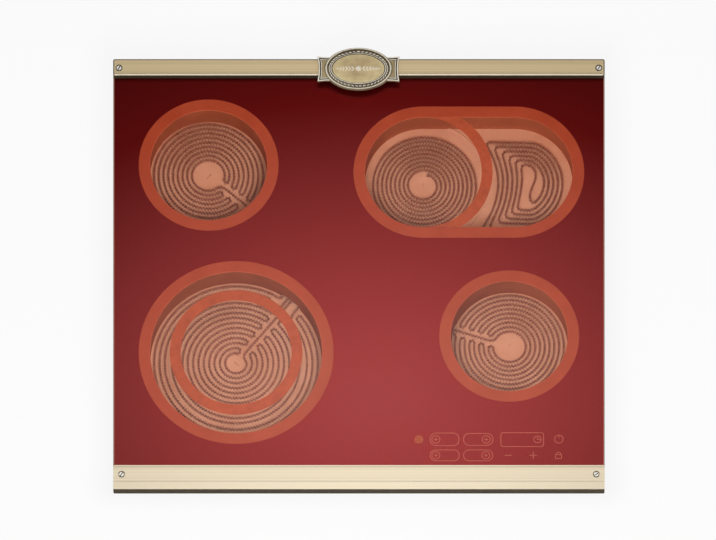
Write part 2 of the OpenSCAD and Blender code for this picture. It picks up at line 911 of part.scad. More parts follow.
// A meander of tracks with a bare strip along +X, in which its two leads run out
function meander(count, r, pitch, half, out, return_y) =
    let (inner_r = r - (count - 1) * pitch, inner_x = sqrt(inner_r * inner_r - half * half),
        outer_x = sqrt(r * r - half * half), bend = half + return_y)
    [[out, lead_share * half],
        [outer_x + 2.2, lead_share * half],
        [outer_x + 0.5, (lead_share + 1) / 2 * half],
        for (k = [0:count - 1])
            let (tr = r - k * pitch, back = k % 2 == 1, side = back ? 1 : -1)
            for (p = concat(track(tr, half, back),
                k == count - 1 ? [] : hairpin(track_end(tr, half, side), track_end(tr - pitch, half, side))))
                p,
        [inner_x + 0.1 * bend, -half + 0.45 * bend],
        [inner_x + 0.45 * bend, -half + 0.85 * bend],
        [inner_x + bend, return_y],
        [out, return_y]];

function spiral_points(a = spiral_start + 4) =
    let (r = spiral_r - spiral_pitch * (a - spiral_start) / 360, step = 2 * acos(1 - chord_sag / r))
    a >= spiral_last - step / 2 ? [spiral_end]
        : concat([[r * cos(a), r * sin(a) - circuit_drop]], spiral_points(a + step));

function spiral_path() = concat([[spiral_lead_x, -small_dish_r],
    [spiral_lead_x, -spiral_r - circuit_drop - 2.4],
    [spiral_lead_x + 0.7, -spiral_r - circuit_drop - 0.2]], spiral_points());

// Distance from the side circuit's core to its walls at one angle
function to_round_wall(a) =
    let (d = side_core[0] - oval_stretch, b = d * cos(a), r = small_ring_in - side_end_room)
    -b + sqrt(max(0, b * b - d * d + r * r));

function to_straight_wall(a) = abs(sin(a)) < 0.001 ? 10000 : side_line / abs(sin(a));

function to_outer_wall(a) =
    let (t = to_straight_wall(a))
    side_core[0] + t * cos(a) < oval_stretch ? t : min(t, to_round_wall(a));

function to_divider(a) =
    let (r = oval_divider_r + side_ridge_room, b = side_core[0] * cos(a), c = pow(side_core[0], 2) - r * r)
    b < 0 && b * b > c ? -b - sqrt(b * b - c) : 10000;

function side_reach(a) = min(to_outer_wall(a), to_divider(a));

// Angles count the way that the leads turn into the lines, from the rear round to the front
function side_point(a, share) = side_core + share * side_reach(a) * [cos(a), -sin(a)];

function side_share(a) = 1 - 2 * side_step * (a - side_start) / 360;

function side_arm(from, to, drop) =
    concat([side_point(from, side_share(from) - drop)],
        [for (a = [ceil(from / side_turn) * side_turn + side_turn / 2:side_turn:to - side_turn / 3])
            side_point(a, side_share(a) - drop)],
        [side_point(to, side_share(to) - drop)]);

function flipped(list) = [for (i = [len(list) - 1:-1:0]) list[i]];

function side_path() =
    let (outer = side_arm(side_start, side_end, 0),
        inner = side_arm(side_start, side_end - 180, side_step),
        out_x = outer[0][0], in_x = inner[0][0])
    concat([[out_x - side_out, -small_dish_r], [out_x - side_out, -side_front - side_reach_out],
            [out_x - side_in, -side_front - slot_room]],
        outer,
        [side_point(side_end + 45, 0.6 * side_core_share), side_core,
            side_point(side_end - 180 + 45, 0.6 * side_core_share)],
        flipped(inner),
        [[in_x - side_in + 0.5, -side_front], [in_x - side_in, -side_front - side_reach_out],
            [in_x - side_in, -small_dish_r]]);

// Distance between points of a path that are further apart along it than a bend
function run_lengths(path, i = 0, sum = 0) =
    i >= len(path) ? [] : concat([sum], run_lengths(path, i + 1,
        sum + (i + 1 < len(path) ? norm(path[i + 1] - path[i]) : 0)));

function least_gap(path, apart) =
    let (s = run_lengths(path), n = len(path) - 1)
    min([for (i = [0:n]) for (j = [i + 1:n]) if (s[j] - s[i] > apart) norm(path[j] - path[i])]) - ribbon_w;

module ribbon(name, path, apart) {
    n = len(path);
    echo(str(name, " rings"), n, "least gap", least_gap(path, apart));
    across = [for (i = [0:n - 1])
        let (step = path[min(i + 1, n - 1)] - path[max(i - 1, 0)])
        [-step[1], step[0]] / norm(step) * ribbon_w / 2];
    points = [for (i = [0:n - 1])
        for (c = [[1, 0], [-1, 0], [-1, 1], [1, 1]])
            let (p = path[i] + c[0] * across[i])
            [p[0], p[1], base_top + c[1] * ribbon_h]];
    sides = [for (i = [0:n - 2])
        for (j = [0:3])
            let (a = 4 * i + j, b = 4 * i + (j + 1) % 4)
            for (f = [[a, b, b + 4], [a, b + 4, a + 4]])
                f];
    last = 4 * (n - 1);
    caps = [[3, 2, 1], [3, 1, 0], [last, last + 1, last + 2], [last, last + 2, last + 3]];
    color("saddlebrown")
        polyhedron(points, concat(sides, caps));
}

module at_zone(place, turn)
    translate(place)
        rotate(turn)
            children();

module small_ribbon(name)
    ribbon(name, meander(small_tracks, small_track_r, track_pitch, lead_strip, small_dish_r, 0),
        2.2 * track_pitch);

// Rear left zone
module rear_left_dish()
    at_zone(rear_left, rear_left_turn)
        round_dish(small_dish_r, slot_half);

module rear_left_base()
    at_zone(rear_left, rear_left_turn)
        round_base(small_dish_r);

module rear_left_ring()
    at_zone(rear_left, rear_left_turn)
        round_ring(small_window_r + ring_hidden, small_ring_in, slot_half);

module rear_left_ribbon()
    at_zone(rear_left, rear_left_turn)
        small_ribbon("rear left");

module rear_left_terminal()
    at_zone(rear_left, rear_left_turn)
        terminal(small_dish_r, slot_half, [0, lead_share * lead_strip + tab_shift]);

// Front right zone
module front_right_dish()
    at_zone(front_right, front_right_turn)
        round_dish(small_dish_r, slot_half);

module front_right_base()
    at_zone(front_right, front_right_turn)
        round_base(small_dish_r);

module front_right_ring()
    at_zone(front_right, front_right_turn)
        round_ring(small_window_r + ring_hidden, small_ring_in, slot_half);

module front_right_ribbon()
    at_zone(front_right, front_right_turn)
        small_ribbon("front right");

module front_right_terminal()
    at_zone(front_right, front_right_turn)
        terminal(small_dish_r, slot_half, [0, lead_share * lead_strip + tab_shift]);

// Front left zone with its two circuits
module front_left_dish()
    at_zone(front_left, front_left_turn)
        round_dish(large_dish_r, wide_slot_half);

module front_left_base()
    at_zone(front_left, front_left_turn)
        round_base(large_dish_r);

module front_left_ring()
    at_zone(front_left, front_left_turn)
        round_ring(large_window_r + ring_hidden, large_ring_in, wide_slot_half);

module front_left_divider()
    color("sandybrown")
        at_zone(front_left, front_left_turn)
            slab(base_top, divider_h)
                difference() {
                    circle(divider_out_r);
                    circle(divider_in_r);
                    translate([0, -slot_half])
                        square([divider_out_r + cut, 2 * slot_half]);
                }

module front_left_inner_ribbon()
    at_zone(front_left, front_left_turn)
        ribbon("front left inner",
            meander(inner_tracks, inner_track_r, inner_pitch, lead_strip, large_dish_r, 0),
            2.2 * inner_pitch);

module front_left_outer_ribbon()
    at_zone(front_left, front_left_turn)
        ribbon("front left outer", meander(outer_tracks, outer_track_r, outer_pitch, outer_lead_strip,
            large_dish_r, -lead_share * outer_lead_strip), 2.2 * outer_pitch);

module front_left_terminal()
    at_zone(front_left, front_left_turn)
        terminal(large_dish_r, wide_slot_half,
            [-lead_share * outer_lead_strip, -tab_shift, lead_share * lead_strip,
            lead_share * outer_lead_strip + tab_shift]);

// Rear right zone: a round circuit and a side circuit in one slot-shaped dish
side_slot_x = side_point(side_start, 1)[0] + 1;
spiral_slot_x = (spiral_lead_x + return_rod[0]) / 2;

module oval_lead_cuts(top) {
    for (x = [spiral_slot_x, side_slot_x])
        box([x - slot_half, -small_dish_r - cut, base_top - fit_gap], [x + slot_half, -side_line, top]);
}

module rear_right_dish()
    color("lightgray")
        translate(rear_right)
            difference() {
                dish(small_dish_r, oval_stretch);
                oval_lead_cuts(base_top + lead_slot_h);
                translate([return_rod[0], -small_dish_r + 5, return_rod_z])
                    rotate([90, 0, 0])
                        cylinder(r = return_rod_r + fit_gap, h = 10);
            }

module rear_right_base()
    color("bisque")
        translate(rear_right)
            difference() {
                slab(dish_floor, base_t)
                    zone_plan(small_dish_r - dish_t - dish_gap, oval_stretch);
                rod([return_rod[0], return_rod[1], return_rod_z], return_rod_r + fit_gap, base_t);
                translate([return_rod[0], return_rod[1] + return_rod_r + fit_gap, return_rod_z])
                    rotate([90, 0, 0])
                        cylinder(r = return_rod_r + fit_gap,
                            h = small_dish_r + return_rod[1] + return_rod_r + fit_gap);
            }

module rear_right_ring()
    color("sandybrown")
        translate(rear_right)
            difference() {
                slab(base_top, cavity_depth)
                    difference() {
                        zone_plan(small_window_r + ring_hidden, oval_stretch);
                        zone_plan(small_ring_in, oval_stretch);
                    }
                translate([0, 0, -cut])
                    oval_lead_cuts(base_top + lead_slot_h + cut);
            }

module rear_right_divider()
    color("sandybrown")
        translate(rear_right)
            slab(base_top, divider_h)
                difference() {
                    intersection() {
                        circle(oval_divider_r);
                        translate([0, -small_ring_in])
                            square(2 * small_ring_in);
                    }
                    circle(oval_divider_r - divider_wall);
                }

module rear_right_round_ribbon()
    translate(rear_right) {
        ribbon("rear right round", spiral_path(), 3 * spiral_pitch);
        color("saddlebrown") {
            rod([return_rod[0], return_rod[1], return_rod_z - return_rod_r], return_rod_r,
                base_top - return_rod_z + return_rod_r);
            translate([return_rod[0], return_rod[1], return_rod_z])
                rotate([90, 0, 0])
                    cylinder(r = return_rod_r, h = small_dish_r + return_rod[1]);
        }
    }

module rear_right_side_ribbon()
    translate(rear_right)
        ribbon("rear right side", side_path(), 3 * ribbon_w);

module rear_right_terminal()
    translate(rear_right) {
        translate([spiral_slot_x, 0])
            rotate(-90)
                terminal(small_dish_r, slot_half, [-oval_tab_y, oval_tab_y]);
        translate([side_slot_x, 0])
            rotate(-90)
                terminal(small_dish_r, slot_half, [-oval_tab_y, oval_tab_y]);
    }

module bow_spring()
    translate([0, spring_w / 2, plate_top])
        rotate([90, 0, 0])
            linear_extrude(spring_w)
                difference() {
                    polygon([[-spring_half, 0], [-spring_half, spring_t],
                        [-spring_half + spring_foot, spring_t], [-spring_crown, spring_h],
                        [spring_crown, spring_h],
                        [spring_half - spring_foot, spring_t], [spring_half, spring_t], [spring_half, 0]]);
                    polygon([[-spring_half + spring_foot + spring_t, 0], [-spring_crown + spring_t / 2,
                        spring_h - spring_t], [spring_crown - spring_t / 2, spring_h - spring_t],
                        [spring_half - spring_foot - spring_t, 0]]);
                }

module spring_ring(place, r)
    for (a = [90, 210, 330])
        translate(place)
            rotate(a)
                translate([r, 0])
                    rotate(90)
                        bow_spring();

module heater_springs()
    color("dimgray") {
        spring_ring(rear_left, small_spring_r);
        spring_ring(front_right, small_spring_r);
        spring_ring(front_left, large_spring_r);
        for (x = [0, oval_stretch])
            for (y = [-oval_spring_y, oval_spring_y])
                translate(rear_right + [x, y])
                    bow_spring();
    }

// Touch controls
module control_carrier()
    color("darkslategray")
        difference() {
            box([board_x - plastic_t, board_front - plastic_t, plate_top],
                [board_x + board_w + plastic_t, board_front + board_d + plastic_t, board_top]);
            box([board_x + plastic_t, board_front + plastic_t, plate_top - cut],
                [board_x + board_w - plastic_t, board_front + board_d - plastic_t, board_top + cut]);
            box([board_x - fit_gap / 2, board_front - fit_gap / 2, board_top - board_t],
                [board_x + board_w + fit_gap / 2, board_front + board_d + fit_gap / 2, board_top + cut]);
            box([cable_x - fit_gap, board_front + board_d - plastic_t - cut, plate_top - cut],
                [cable_x + cable_w + fit_gap, board_front + board_d + plastic_t + cut,
                plate_top + cable_slot]);
        }

module touch_board()
    color("darkgreen")
        box([board_x, board_front, board_top - board_t],
            [board_x + board_w, board_front + board_d, board_top]);

module touch_pads()
    color("black") {
        for (k = front_keys)
            rod([key_left + key_steps[k], key_row, board_top], pad_r, pad_h);
        for (k = rear_keys)
            rod([key_left + key_steps[k], key_row + key_row_gap, board_top], pad_r, pad_h);
    }

module digit(x, y, w)
    box([x - w / 2, y - digit_d / 2, board_top], [x + w / 2, y + digit_d / 2, board_top + digit_h]);

module display_module()
    color("darkred") {
        for (y = [key_row, key_row + key_row_gap]) {
            digit(key_left + digit_step, y, digit_w);
            digit(key_left + key_steps[1] - digit_step, y, digit_w);
        }
        digit(key_left + key_steps[2] + digit_step, key_row + key_row_gap, clock_w);
        digit(key_left - lamp_step, key_row + key_row_gap, lamp_w);
    }

// Power board with its housing
module power_housing()
    color("darkslategray")
        translate([power_x, power_y, 0])
            difference() {
                box([-house_w / 2, -house_d / 2, plate_top], [house_w / 2, house_d / 2, plate_top + house_h]);
                box([-power_w / 2 - power_gap, -power_d / 2 - power_gap, plate_top + power_lift],
                    [power_w / 2 + power_gap, power_d / 2 + power_gap, plate_top + house_h + cut]);
                box([-power_w / 2 + plastic_t, -power_d / 2 + plastic_t, plate_top + plastic_t],
                    [power_w / 2 - plastic_t, power_d / 2 - plastic_t, plate_top + house_h + cut]);
                box([cable_x - power_x - fit_gap, -house_d / 2 - cut, plate_top - cut],
                    [cable_x - power_x + cable_w + fit_gap, -power_d / 2 + plastic_t + cable_slot,
                    plate_top + cable_slot]);
            }

module power_board()
    color("darkgreen")
        translate([power_x, power_y, plate_top + power_lift])
            box([-power_w / 2, -power_d / 2, 0], [power_w / 2, power_d / 2, board_t]);

// Place across the power board, as a share of its width
function board_across(share) = (share - 0.5) * power_w;

module power_parts()
    translate([power_x, power_y, power_top]) {
        // Relays
        color("dimgray")
            for (i = [0:relay_count - 1])
                let (y = -power_d / 2 + relay_edge + relay_step * i)
                box([board_across(relay_from), y, 0], [board_across(relay_to), y + relay_d, relay_h]);
        // Transformer
        color("goldenrod")
            box([board_across(transformer_from), -power_d / 2 + relay_edge, 0],
                [board_across(transformer_to), -power_d / 2 + relay_edge + transformer_d, transformer_h]);
        // Capacitors
        color("navy")
            for (place = capacitor_places)
                rod([board_across(place), capacitor_y, 0], capacitor_share * power_w, capacitor_h);
        // Connectors along the right and rear edges
        color("white")
            for (i = [-1:2])
                box([board_across(socket_from), socket_step * i, 0],
                    [power_w / 2 - socket_edge, socket_step * i + socket_d, socket_h]);
    }

module heat_shield()
    color("silver")
        translate([power_x, power_y, plate_top + house_h])
            box([-house_w / 2, -house_d / 2, 0], [house_w / 2, house_d / 2, sheet_t]);

// Wiring along the floor
module loom(points)
    for (i = [0:len(points) - 2])
        let (a = points[i], b = points[i + 1], d = b - a, run = norm(d)) {
            translate(a)
                rotate([0, acos(d[2] / run), atan2(d[1], d[0])])
                    cylinder(r = loom_r, h = run);
            if (i > 0)
                translate(a)
                    sphere(loom_r + fit_gap);
        }

function turned(place, turn, v) =
    place + [v[0] * cos(turn) - v[1] * sin(turn), v[0] * sin(turn) + v[1] * cos(turn)];

function lifted(p, z) = [p[0], p[1], z];

module wiring_looms() {
    tab_z = base_top + tab_lift + tab_t / 2 + loom_rise;
    near = terminal_depth + tab_len + loom_r;
    lead_y = (lead_share * lead_strip + tab_shift) / 2;
    middle_x = (rear_left[0] + rear_right[0]) / 2;
    rl = turned(rear_left, rear_left_turn, [small_dish_r + near, lead_y]);
    fl = turned(front_left, front_left_turn, [large_dish_r + near, 0]);
    fr = turned(front_right, front_right_turn, [small_dish_r + near, lead_y]);
    rr = rear_right + [spiral_slot_x, -small_dish_r - near];
    rs = rear_right + [side_slot_x, -small_dish_r - near];
    fl_y = fl[1] - loom_rise;
    rs_y = house_rear - 2 * loom_step;
    rl_x = house_left + loom_turn;
    rl_y = house_rear + 2 * loom_step;
    mains_x = rl_x + loom_step;
    mains_y = rl_y + loom_step;
    rr_x = house_right - loom_step;
    color("firebrick") {
        loom([lifted(rl, tab_z), lifted(rl, loom_z), [rl[0], rl_y, loom_z], [rl_x, rl_y, loom_z],
            [rl_x, house_rear, loom_z]]);
        loom([lifted(fl, tab_z), lifted(fl, loom_z), [house_left - loom_turn, fl_y, loom_z],
            [house_left, fl_y, loom_z]]);
        loom([lifted(fr, tab_z), lifted(fr, loom_z), [house_right, fr[1], loom_z]]);
        loom([lifted(rr, tab_z), lifted(rr, loom_z),
            [house_right + loom_turn, house_rear + loom_turn, loom_z],
            [rr_x, house_rear + loom_turn, loom_z], [rr_x, house_rear, loom_z]]);
        loom([lifted(rs, tab_z), lifted(rs, loom_z), [house_right + loom_turn, rs_y, loom_z],
            [house_right, rs_y, loom_z]]);
        loom([[middle_x, terminal_y - box_rim, loom_z], [middle_x, mains_y, loom_z],
            [mains_x, mains_y, loom_z], [mains_x, house_rear, loom_z]]);
    }
}

module control_cable()
    color("lightgray") {
        front = board_front + board_d - plastic_t - cable_slot;
        rear = power_y - power_d / 2 + plastic_t + cable_slot;
        box([cable_x, front, plate_top], [cable_x + cable_w, rear, plate_top + cable_t]);
        box([cable_x, front, plate_top], [cable_x + cable_w, front + cable_t, board_top - board_t]);
        box([cable_x, rear - cable_t, plate_top], [cable_x + cable_w, rear, plate_top + power_lift]);
    }

// Mains terminal box, open downwards, with its inlet at the right
module terminal_box()
    color("dimgray")
        difference() {
            union() {
                box([terminal_x, terminal_y, box_z],
                    [terminal_x + terminal_w, terminal_y + terminal_d, box_z + terminal_h]);
                box([terminal_x - box_rim, terminal_y - box_rim, plate_top],
                    [terminal_x + terminal_w + box_rim, terminal_y + terminal_d + box_rim,
                    plate_top + box_rim_t]);
            }
            box([terminal_x + terminal_wall, terminal_y + terminal_wall, box_z - cut],
                [terminal_x + terminal_w - inlet_w, terminal_y + terminal_d - terminal_wall,
                box_z + terminal_h - terminal_wall]);
            box([terminal_x + terminal_w - inlet_w - cut, terminal_y + terminal_wall, box_z + slab_t],
                [terminal_x + terminal_w - terminal_wall, terminal_y + terminal_d - terminal_wall,
                box_z + terminal_h - terminal_wall]);
            rod([terminal_x + terminal_w - inlet_w / 2, terminal_y + terminal_d / 2, box_z - cut], inlet_r,
                slab_t + 2 * cut);
            translate([cover_x - fit_gap - hinge_pin_len, hinge_y, hinge_z])
                rotate([0, 90, 0])
                    cylinder(r = hinge_pin_r + pin_gap, h = cover_w + 2 * fit_gap + 2 * hinge_pin_len);
        }

module pole_places(z)
    for (i = [0:block_poles - 1])
        translate([cover_x + block_edge + (i + 0.5) * block_w / block_poles, terminal_y + terminal_d / 2, z])
            children();

module terminal_block()
    color("ivory")
        difference() {
            box([cover_x + block_edge, terminal_y + (terminal_d - block_d) / 2, block_top - block_h],
                [cover_x + block_edge + block_w, terminal_y + (terminal_d + block_d) / 2, block_top]);
            pole_places(block_top - block_h)
                translate([0, 0, -cut])
                    cylinder(r = block_screw_r + 0.2, h = block_screw_sink + block_screw_len + cut);
        }

module terminal_screws()
    color("goldenrod")
        pole_places(block_top - block_h + block_screw_sink)
            cylinder(r = block_screw_r, h = block_screw_len);

module terminal_cover()
    color("dimgray") {
        box([cover_x, hinge_y, box_z], [cover_x + cover_w, cover_end, hinge_z]);
        translate([cover_x, hinge_y, hinge_z])
            rotate([0, 90, 0])
                cylinder(r = hinge_drop, h = cover_w);
        translate([cover_x - fit_gap - hinge_pin_len + pin_end_gap, hinge_y, hinge_z])
            rotate([0, 90, 0])
                cylinder(r = hinge_pin_r, h = cover_w + 2 * (fit_gap + hinge_pin_len - pin_end_gap));
    }

// Worktop clamps: a screw in each notch and the dog that it swings and draws up
module clamp_place(x, y)
    translate([x * clamp_x, y - notch_len / 2 + clamp_inset, 0])
        children();

module clamp_screw(x, y)
    color("silver")
        clamp_place(x, y)
            difference() {
                union() {
                    rod([0, 0, plate_top], clamp_head_r, clamp_head_h);
                    rod([0, 0, plate_top], clamp_screw_r, flange_top - plate_top - 0.2);
                }
                translate([0, 0, plate_top])
                    cube([2 * clamp_head_r + cut, 1.2, 2.4], center = true);
            }

module clamp_dog(x, y)
    color("darkgray")
        clamp_place(x, y)
            difference() {
                union() {
                    rod([0, 0, clamp_low - clamp_t], clamp_half_w, clamp_t);
                    box([-clamp_half_w, 0, clamp_low - clamp_t], [clamp_half_w, clamp_arm, clamp_low]);
                    rod([0, 0, clamp_low - clamp_t - hub_h], hub_r, hub_h + cut);
                }
                rod([0, 0, clamp_low - clamp_t - hub_h - cut], clamp_screw_r + pin_gap,
                    clamp_t + hub_h + 2 * cut);
            }

module left_front_clamp_screw()
    clamp_screw(-1, front_notch_y);

module left_front_clamp_dog()
    clamp_dog(-1, front_notch_y);

module left_rear_clamp_screw()
    clamp_screw(-1, rear_notch_y);

module left_rear_clamp_dog()
    clamp_dog(-1, rear_notch_y);

module right_front_clamp_screw()
    clamp_screw(1, front_notch_y);

module right_front_clamp_dog()
    clamp_dog(1, front_notch_y);

module right_rear_clamp_screw()
    clamp_screw(1, rear_notch_y);

module right_rear_clamp_dog()
    clamp_dog(1, rear_notch_y);

glass_panel();
worktop_seal();
glass_adhesive();
rear_trim();
front_trim();
trim_screws();
trim_nuts();
medallion();
medallion_studs();
chassis_frame();
bottom_plate();
plate_screws();
rear_left_dish();
rear_left_base();
rear_left_ring();
rear_left_ribbon();
rear_left_terminal();
front_right_dish();
front_right_base();
front_right_ring();
front_right_ribbon();
front_right_terminal();
front_left_dish();
front_left_base();
front_left_ring();
front_left_divider();
front_left_inner_ribbon();
front_left_outer_ribbon();
front_left_terminal();
rear_right_dish();
rear_right_base();
rear_right_ring();
rear_right_divider();
rear_right_round_ribbon();
rear_right_side_ribbon();
rear_right_terminal();
heater_springs();
heat_shield();
control_carrier();
touch_board();
touch_pads();
display_module();
power_housing();
power_board();
power_parts();
wiring_looms();
control_cable();
terminal_box();
terminal_block();
terminal_screws();
terminal_cover();
left_front_clamp_screw();
left_front_clamp_dog();
left_rear_clamp_screw();
left_rear_clamp_dog();
right_front_clamp_screw();
right_front_clamp_dog();
right_rear_clamp_screw();
right_rear_clamp_dog();
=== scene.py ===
"""Built-in ceramic glass cooktop: printed red glass, four radiant zones, aged brass bars and a medallion.

Sizes are in millimetres and angles in degrees, unless a docstring says otherwise.
"""

import json
import logging
import math
from dataclasses import dataclass
from enum import Enum
from typing import Any, Callable, Sequence

import bmesh
import bpy
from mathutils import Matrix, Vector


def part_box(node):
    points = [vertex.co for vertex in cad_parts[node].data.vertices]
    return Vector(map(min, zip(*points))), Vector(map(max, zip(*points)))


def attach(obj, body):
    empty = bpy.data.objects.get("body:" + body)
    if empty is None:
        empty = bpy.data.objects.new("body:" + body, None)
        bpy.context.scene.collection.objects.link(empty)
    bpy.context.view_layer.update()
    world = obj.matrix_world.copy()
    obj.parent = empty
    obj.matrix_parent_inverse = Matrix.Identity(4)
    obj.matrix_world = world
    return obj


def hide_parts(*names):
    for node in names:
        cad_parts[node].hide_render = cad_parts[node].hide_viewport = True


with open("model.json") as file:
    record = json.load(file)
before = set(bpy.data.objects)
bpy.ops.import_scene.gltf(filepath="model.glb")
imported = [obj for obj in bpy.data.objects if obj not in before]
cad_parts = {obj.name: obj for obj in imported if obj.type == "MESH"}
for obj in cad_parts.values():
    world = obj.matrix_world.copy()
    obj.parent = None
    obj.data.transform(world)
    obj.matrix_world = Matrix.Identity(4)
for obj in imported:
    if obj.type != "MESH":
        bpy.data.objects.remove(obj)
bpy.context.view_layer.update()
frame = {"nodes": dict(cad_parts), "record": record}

log = logging.getLogger("cooktop")

Point = tuple[float, float]
Triple = tuple[float, float, float]
Colour = Triple
Test = Callable[[Any], bool]
Object = bpy.types.Object
Material = bpy.types.Material
Node = bpy.types.Node
Socket = bpy.types.NodeSocket
Tree = bpy.types.NodeTree

ROOT = "cooktop"
MM = 1000.0
CLOSE = 1e-6
WHITE = (1.0, 1.0, 1.0, 1.0)
VALUE, COLOUR = "NodeSocketFloat", "NodeSocketColor"


class Part(Enum):
    """What an edit-mode selection picks."""

    VERT = "VERT"
    EDGE = "EDGE"
    FACE = "FACE"


class Side(Enum):
    """The two bars, by the way that their outer face looks along Y."""

    REAR = 1
    FRONT = -1


def mm(value: float) -> float:
    """Returns millimetres as metres."""
    return value / MM


def polar(radius: float, angle: float, middle: Point = (0.0, 0.0)) -> Point:
    """Returns the point at a distance and an angle from a middle."""
    turn = math.radians(angle)
    return middle[0] + radius * math.cos(turn), middle[1] + radius * math.sin(turn)


def every(_: Any) -> bool:
    """Passes every element."""
    return True


def rises(edge: Any) -> bool:
    """Tells whether an edge has its ends at different heights."""
    return abs(edge.verts[0].co.z - edge.verts[1].co.z) > CLOSE


def lies_at(edge: Any, height: float) -> bool:
    """Tells whether an edge lies flat at a height."""
    return all(abs(v.co.z - mm(height)) < CLOSE for v in edge.verts)


def clear_selection() -> None:
    """Leaves edit mode and deselects every object."""
    if bpy.context.object and bpy.context.object.mode != "OBJECT":
        bpy.ops.object.mode_set(mode="OBJECT")
    bpy.ops.object.select_all(action="DESELECT")


def activate(obj: Object) -> None:
    """Makes one object the only selected and active one.

    Args:
        obj: The object that the next operators act on.
    """
    clear_selection()
    obj.select_set(True)
    bpy.context.view_layer.objects.active = obj


def settle(obj: Object, name: str) -> Object:
    """Names an object and puts its place, turn and scale into its mesh.

    Args:
        obj: The object to settle.
        name: Its new name.

    Returns:
        The same object.
    """
    obj.name = name
    activate(obj)
    bpy.ops.object.transform_apply(location=True, rotation=True, scale=True)
    return obj


def put(obj: Object, name: str, place: Point, turn: float = 0.0, height: float = 0.0) -> Object:
    """Turns an object about the origin, moves it to a place and settles it there.

    Args:
        obj: The object.
        name: Its new name.
        place: Where its origin goes.
        turn: Its turn about Z.
        height: How far it is lifted.

    Returns:
        The same object.
    """
    obj.rotation_euler.z = math.radians(turn)
    obj.location = (mm(place[0]), mm(place[1]), mm(height))
    return settle(obj, name)


def edit_pick(obj: Object, kind: Part, test: Test) -> int:
    """Enters edit mode and selects the elements that pass a test.

    Args:
        obj: The mesh object.
        kind: Vertices, edges or faces.
        test: Called with each element.

    Returns:
        How many elements are selected.
    """
    activate(obj)
    bpy.ops.object.mode_set(mode="EDIT")
    bpy.ops.mesh.select_mode(type=kind.value)
    bpy.ops.mesh.select_all(action="DESELECT")
    mesh = bmesh.from_edit_mesh(obj.data)
    picked = [item for item in getattr(mesh, kind.value.lower() + "s") if test(item)]
    for item in picked:
        item.select_set(True)
    mesh.select_flush_mode()
    bmesh.update_edit_mesh(obj.data)
    return len(picked)


def end_edit(fix_normals: bool = True) -> None:
    """Leaves edit mode.

    Args:
        fix_normals: Whether all normals are first made to look outwards.
    """
    if fix_normals:
        bpy.ops.mesh.select_all(action="SELECT")
        bpy.ops.mesh.normals_make_consistent(inside=False)
    bpy.ops.object.mode_set(mode="OBJECT")


def shift(x: float = 0.0, z: float = 0.0) -> None:
    """Moves what is selected in edit mode."""
    bpy.ops.transform.translate(value=(mm(x), 0.0, mm(z)))


def extrude_up(height: float) -> None:
    """Extrudes what is selected in edit mode along Z."""
    bpy.ops.mesh.extrude_region_move(TRANSFORM_OT_translate={"value": (0.0, 0.0, mm(height))})


def raise_rim(width: float, height: float) -> None:
    """Makes the flat face that is selected into a wall along its rim and leaves edit mode.

    Args:
        width: Width of the wall.
        height: Height of the wall.
    """
    bpy.ops.mesh.inset(thickness=mm(width))
    bpy.ops.mesh.delete(type="FACE")
    bpy.ops.mesh.select_all(action="SELECT")
    extrude_up(height)
    end_edit()


def step_insets(steps: Sequence[Point]) -> None:
    """Insets and lifts the selected face step by step.

    Args:
        steps: Width and rise of each step.
    """
    for width, rise in steps:
        bpy.ops.mesh.inset(thickness=mm(width))
        if rise:
            shift(z=rise)


def bevel_edges(obj: Object, test: Test, width: float, segments: int) -> None:
    """Bevels the edges that pass a test.

    Args:
        obj: The mesh object.
        test: Called with each edge.
        width: Width of the bevel.
        segments: Number of its segments.
    """
    if edit_pick(obj, Part.EDGE, test):
        bpy.ops.mesh.bevel(offset=mm(width), segments=segments, affect="EDGES", clamp_overlap=True)
    end_edit(False)


def apply_modifier(obj: Object, kind: str, **settings: Any) -> None:
    """Adds one modifier to an object and applies it.

    Args:
        obj: The mesh object.
        kind: The modifier's type.
        **settings: Its properties.
    """
    activate(obj)
    modifier = obj.modifiers.new(kind.lower(), kind)
    for key, value in settings.items():
        setattr(modifier, key, value)
    bpy.ops.object.modifier_apply(modifier=modifier.name)


def cut_with(obj: Object, cutters: Sequence[Object]) -> Object:
    """Cuts other solids out of an object and removes them.

    Args:
        obj: The solid that is cut.
        cutters: The solids that are taken away.

    Returns:
        The cut object.
    """
    for cutter in cutters:
        apply_modifier(obj, "BOOLEAN", operation="DIFFERENCE", solver="EXACT", object=cutter)
        bpy.data.objects.remove(cutter)
    return obj


def joined(objs: Sequence[Object], name: str) -> Object:
    """Joins objects into the first of them.

    Args:
        objs: The objects.
        name: Name of the result.

    Returns:
        The joined object.
    """
    clear_selection()
    for obj in objs:
        obj.select_set(True)
    bpy.context.view_layer.objects.active = objs[0]
    bpy.ops.object.join()
    objs[0].name = name
    return objs[0]


def add_box(name: str, low: Sequence[float], high: Sequence[float]) -> Object:
    """Adds a box between two corners.

    Args:
        name: Object name.
        low: Lowest corner.
        high: Highest corner.

    Returns:
        The box.
    """
    clear_selection()
    bpy.ops.mesh.primitive_cube_add(size=1.0, location=[mm(a + b) / 2 for a, b in zip(low, high)])
    bpy.context.object.scale = [mm(b - a) for a, b in zip(low, high)]
    return settle(bpy.context.object, name)


def add_rod(name: str, place: Point, radius: float, low: float, high: float, sides: int) -> Object:
    """Adds an upright cylinder.

    Args:
        name: Object name.
        place: Place of its axis.
        radius: Its radius.
        low: Height of its foot.
        high: Height of its top.
        sides: Number of sides.

    Returns:
        The cylinder.
    """
    clear_selection()
    middle = (mm(place[0]), mm(place[1]), mm(low + high) / 2)
    bpy.ops.mesh.primitive_cylinder_add(vertices=sides, radius=mm(radius), depth=mm(high - low), location=middle)
    return settle(bpy.context.object, name)


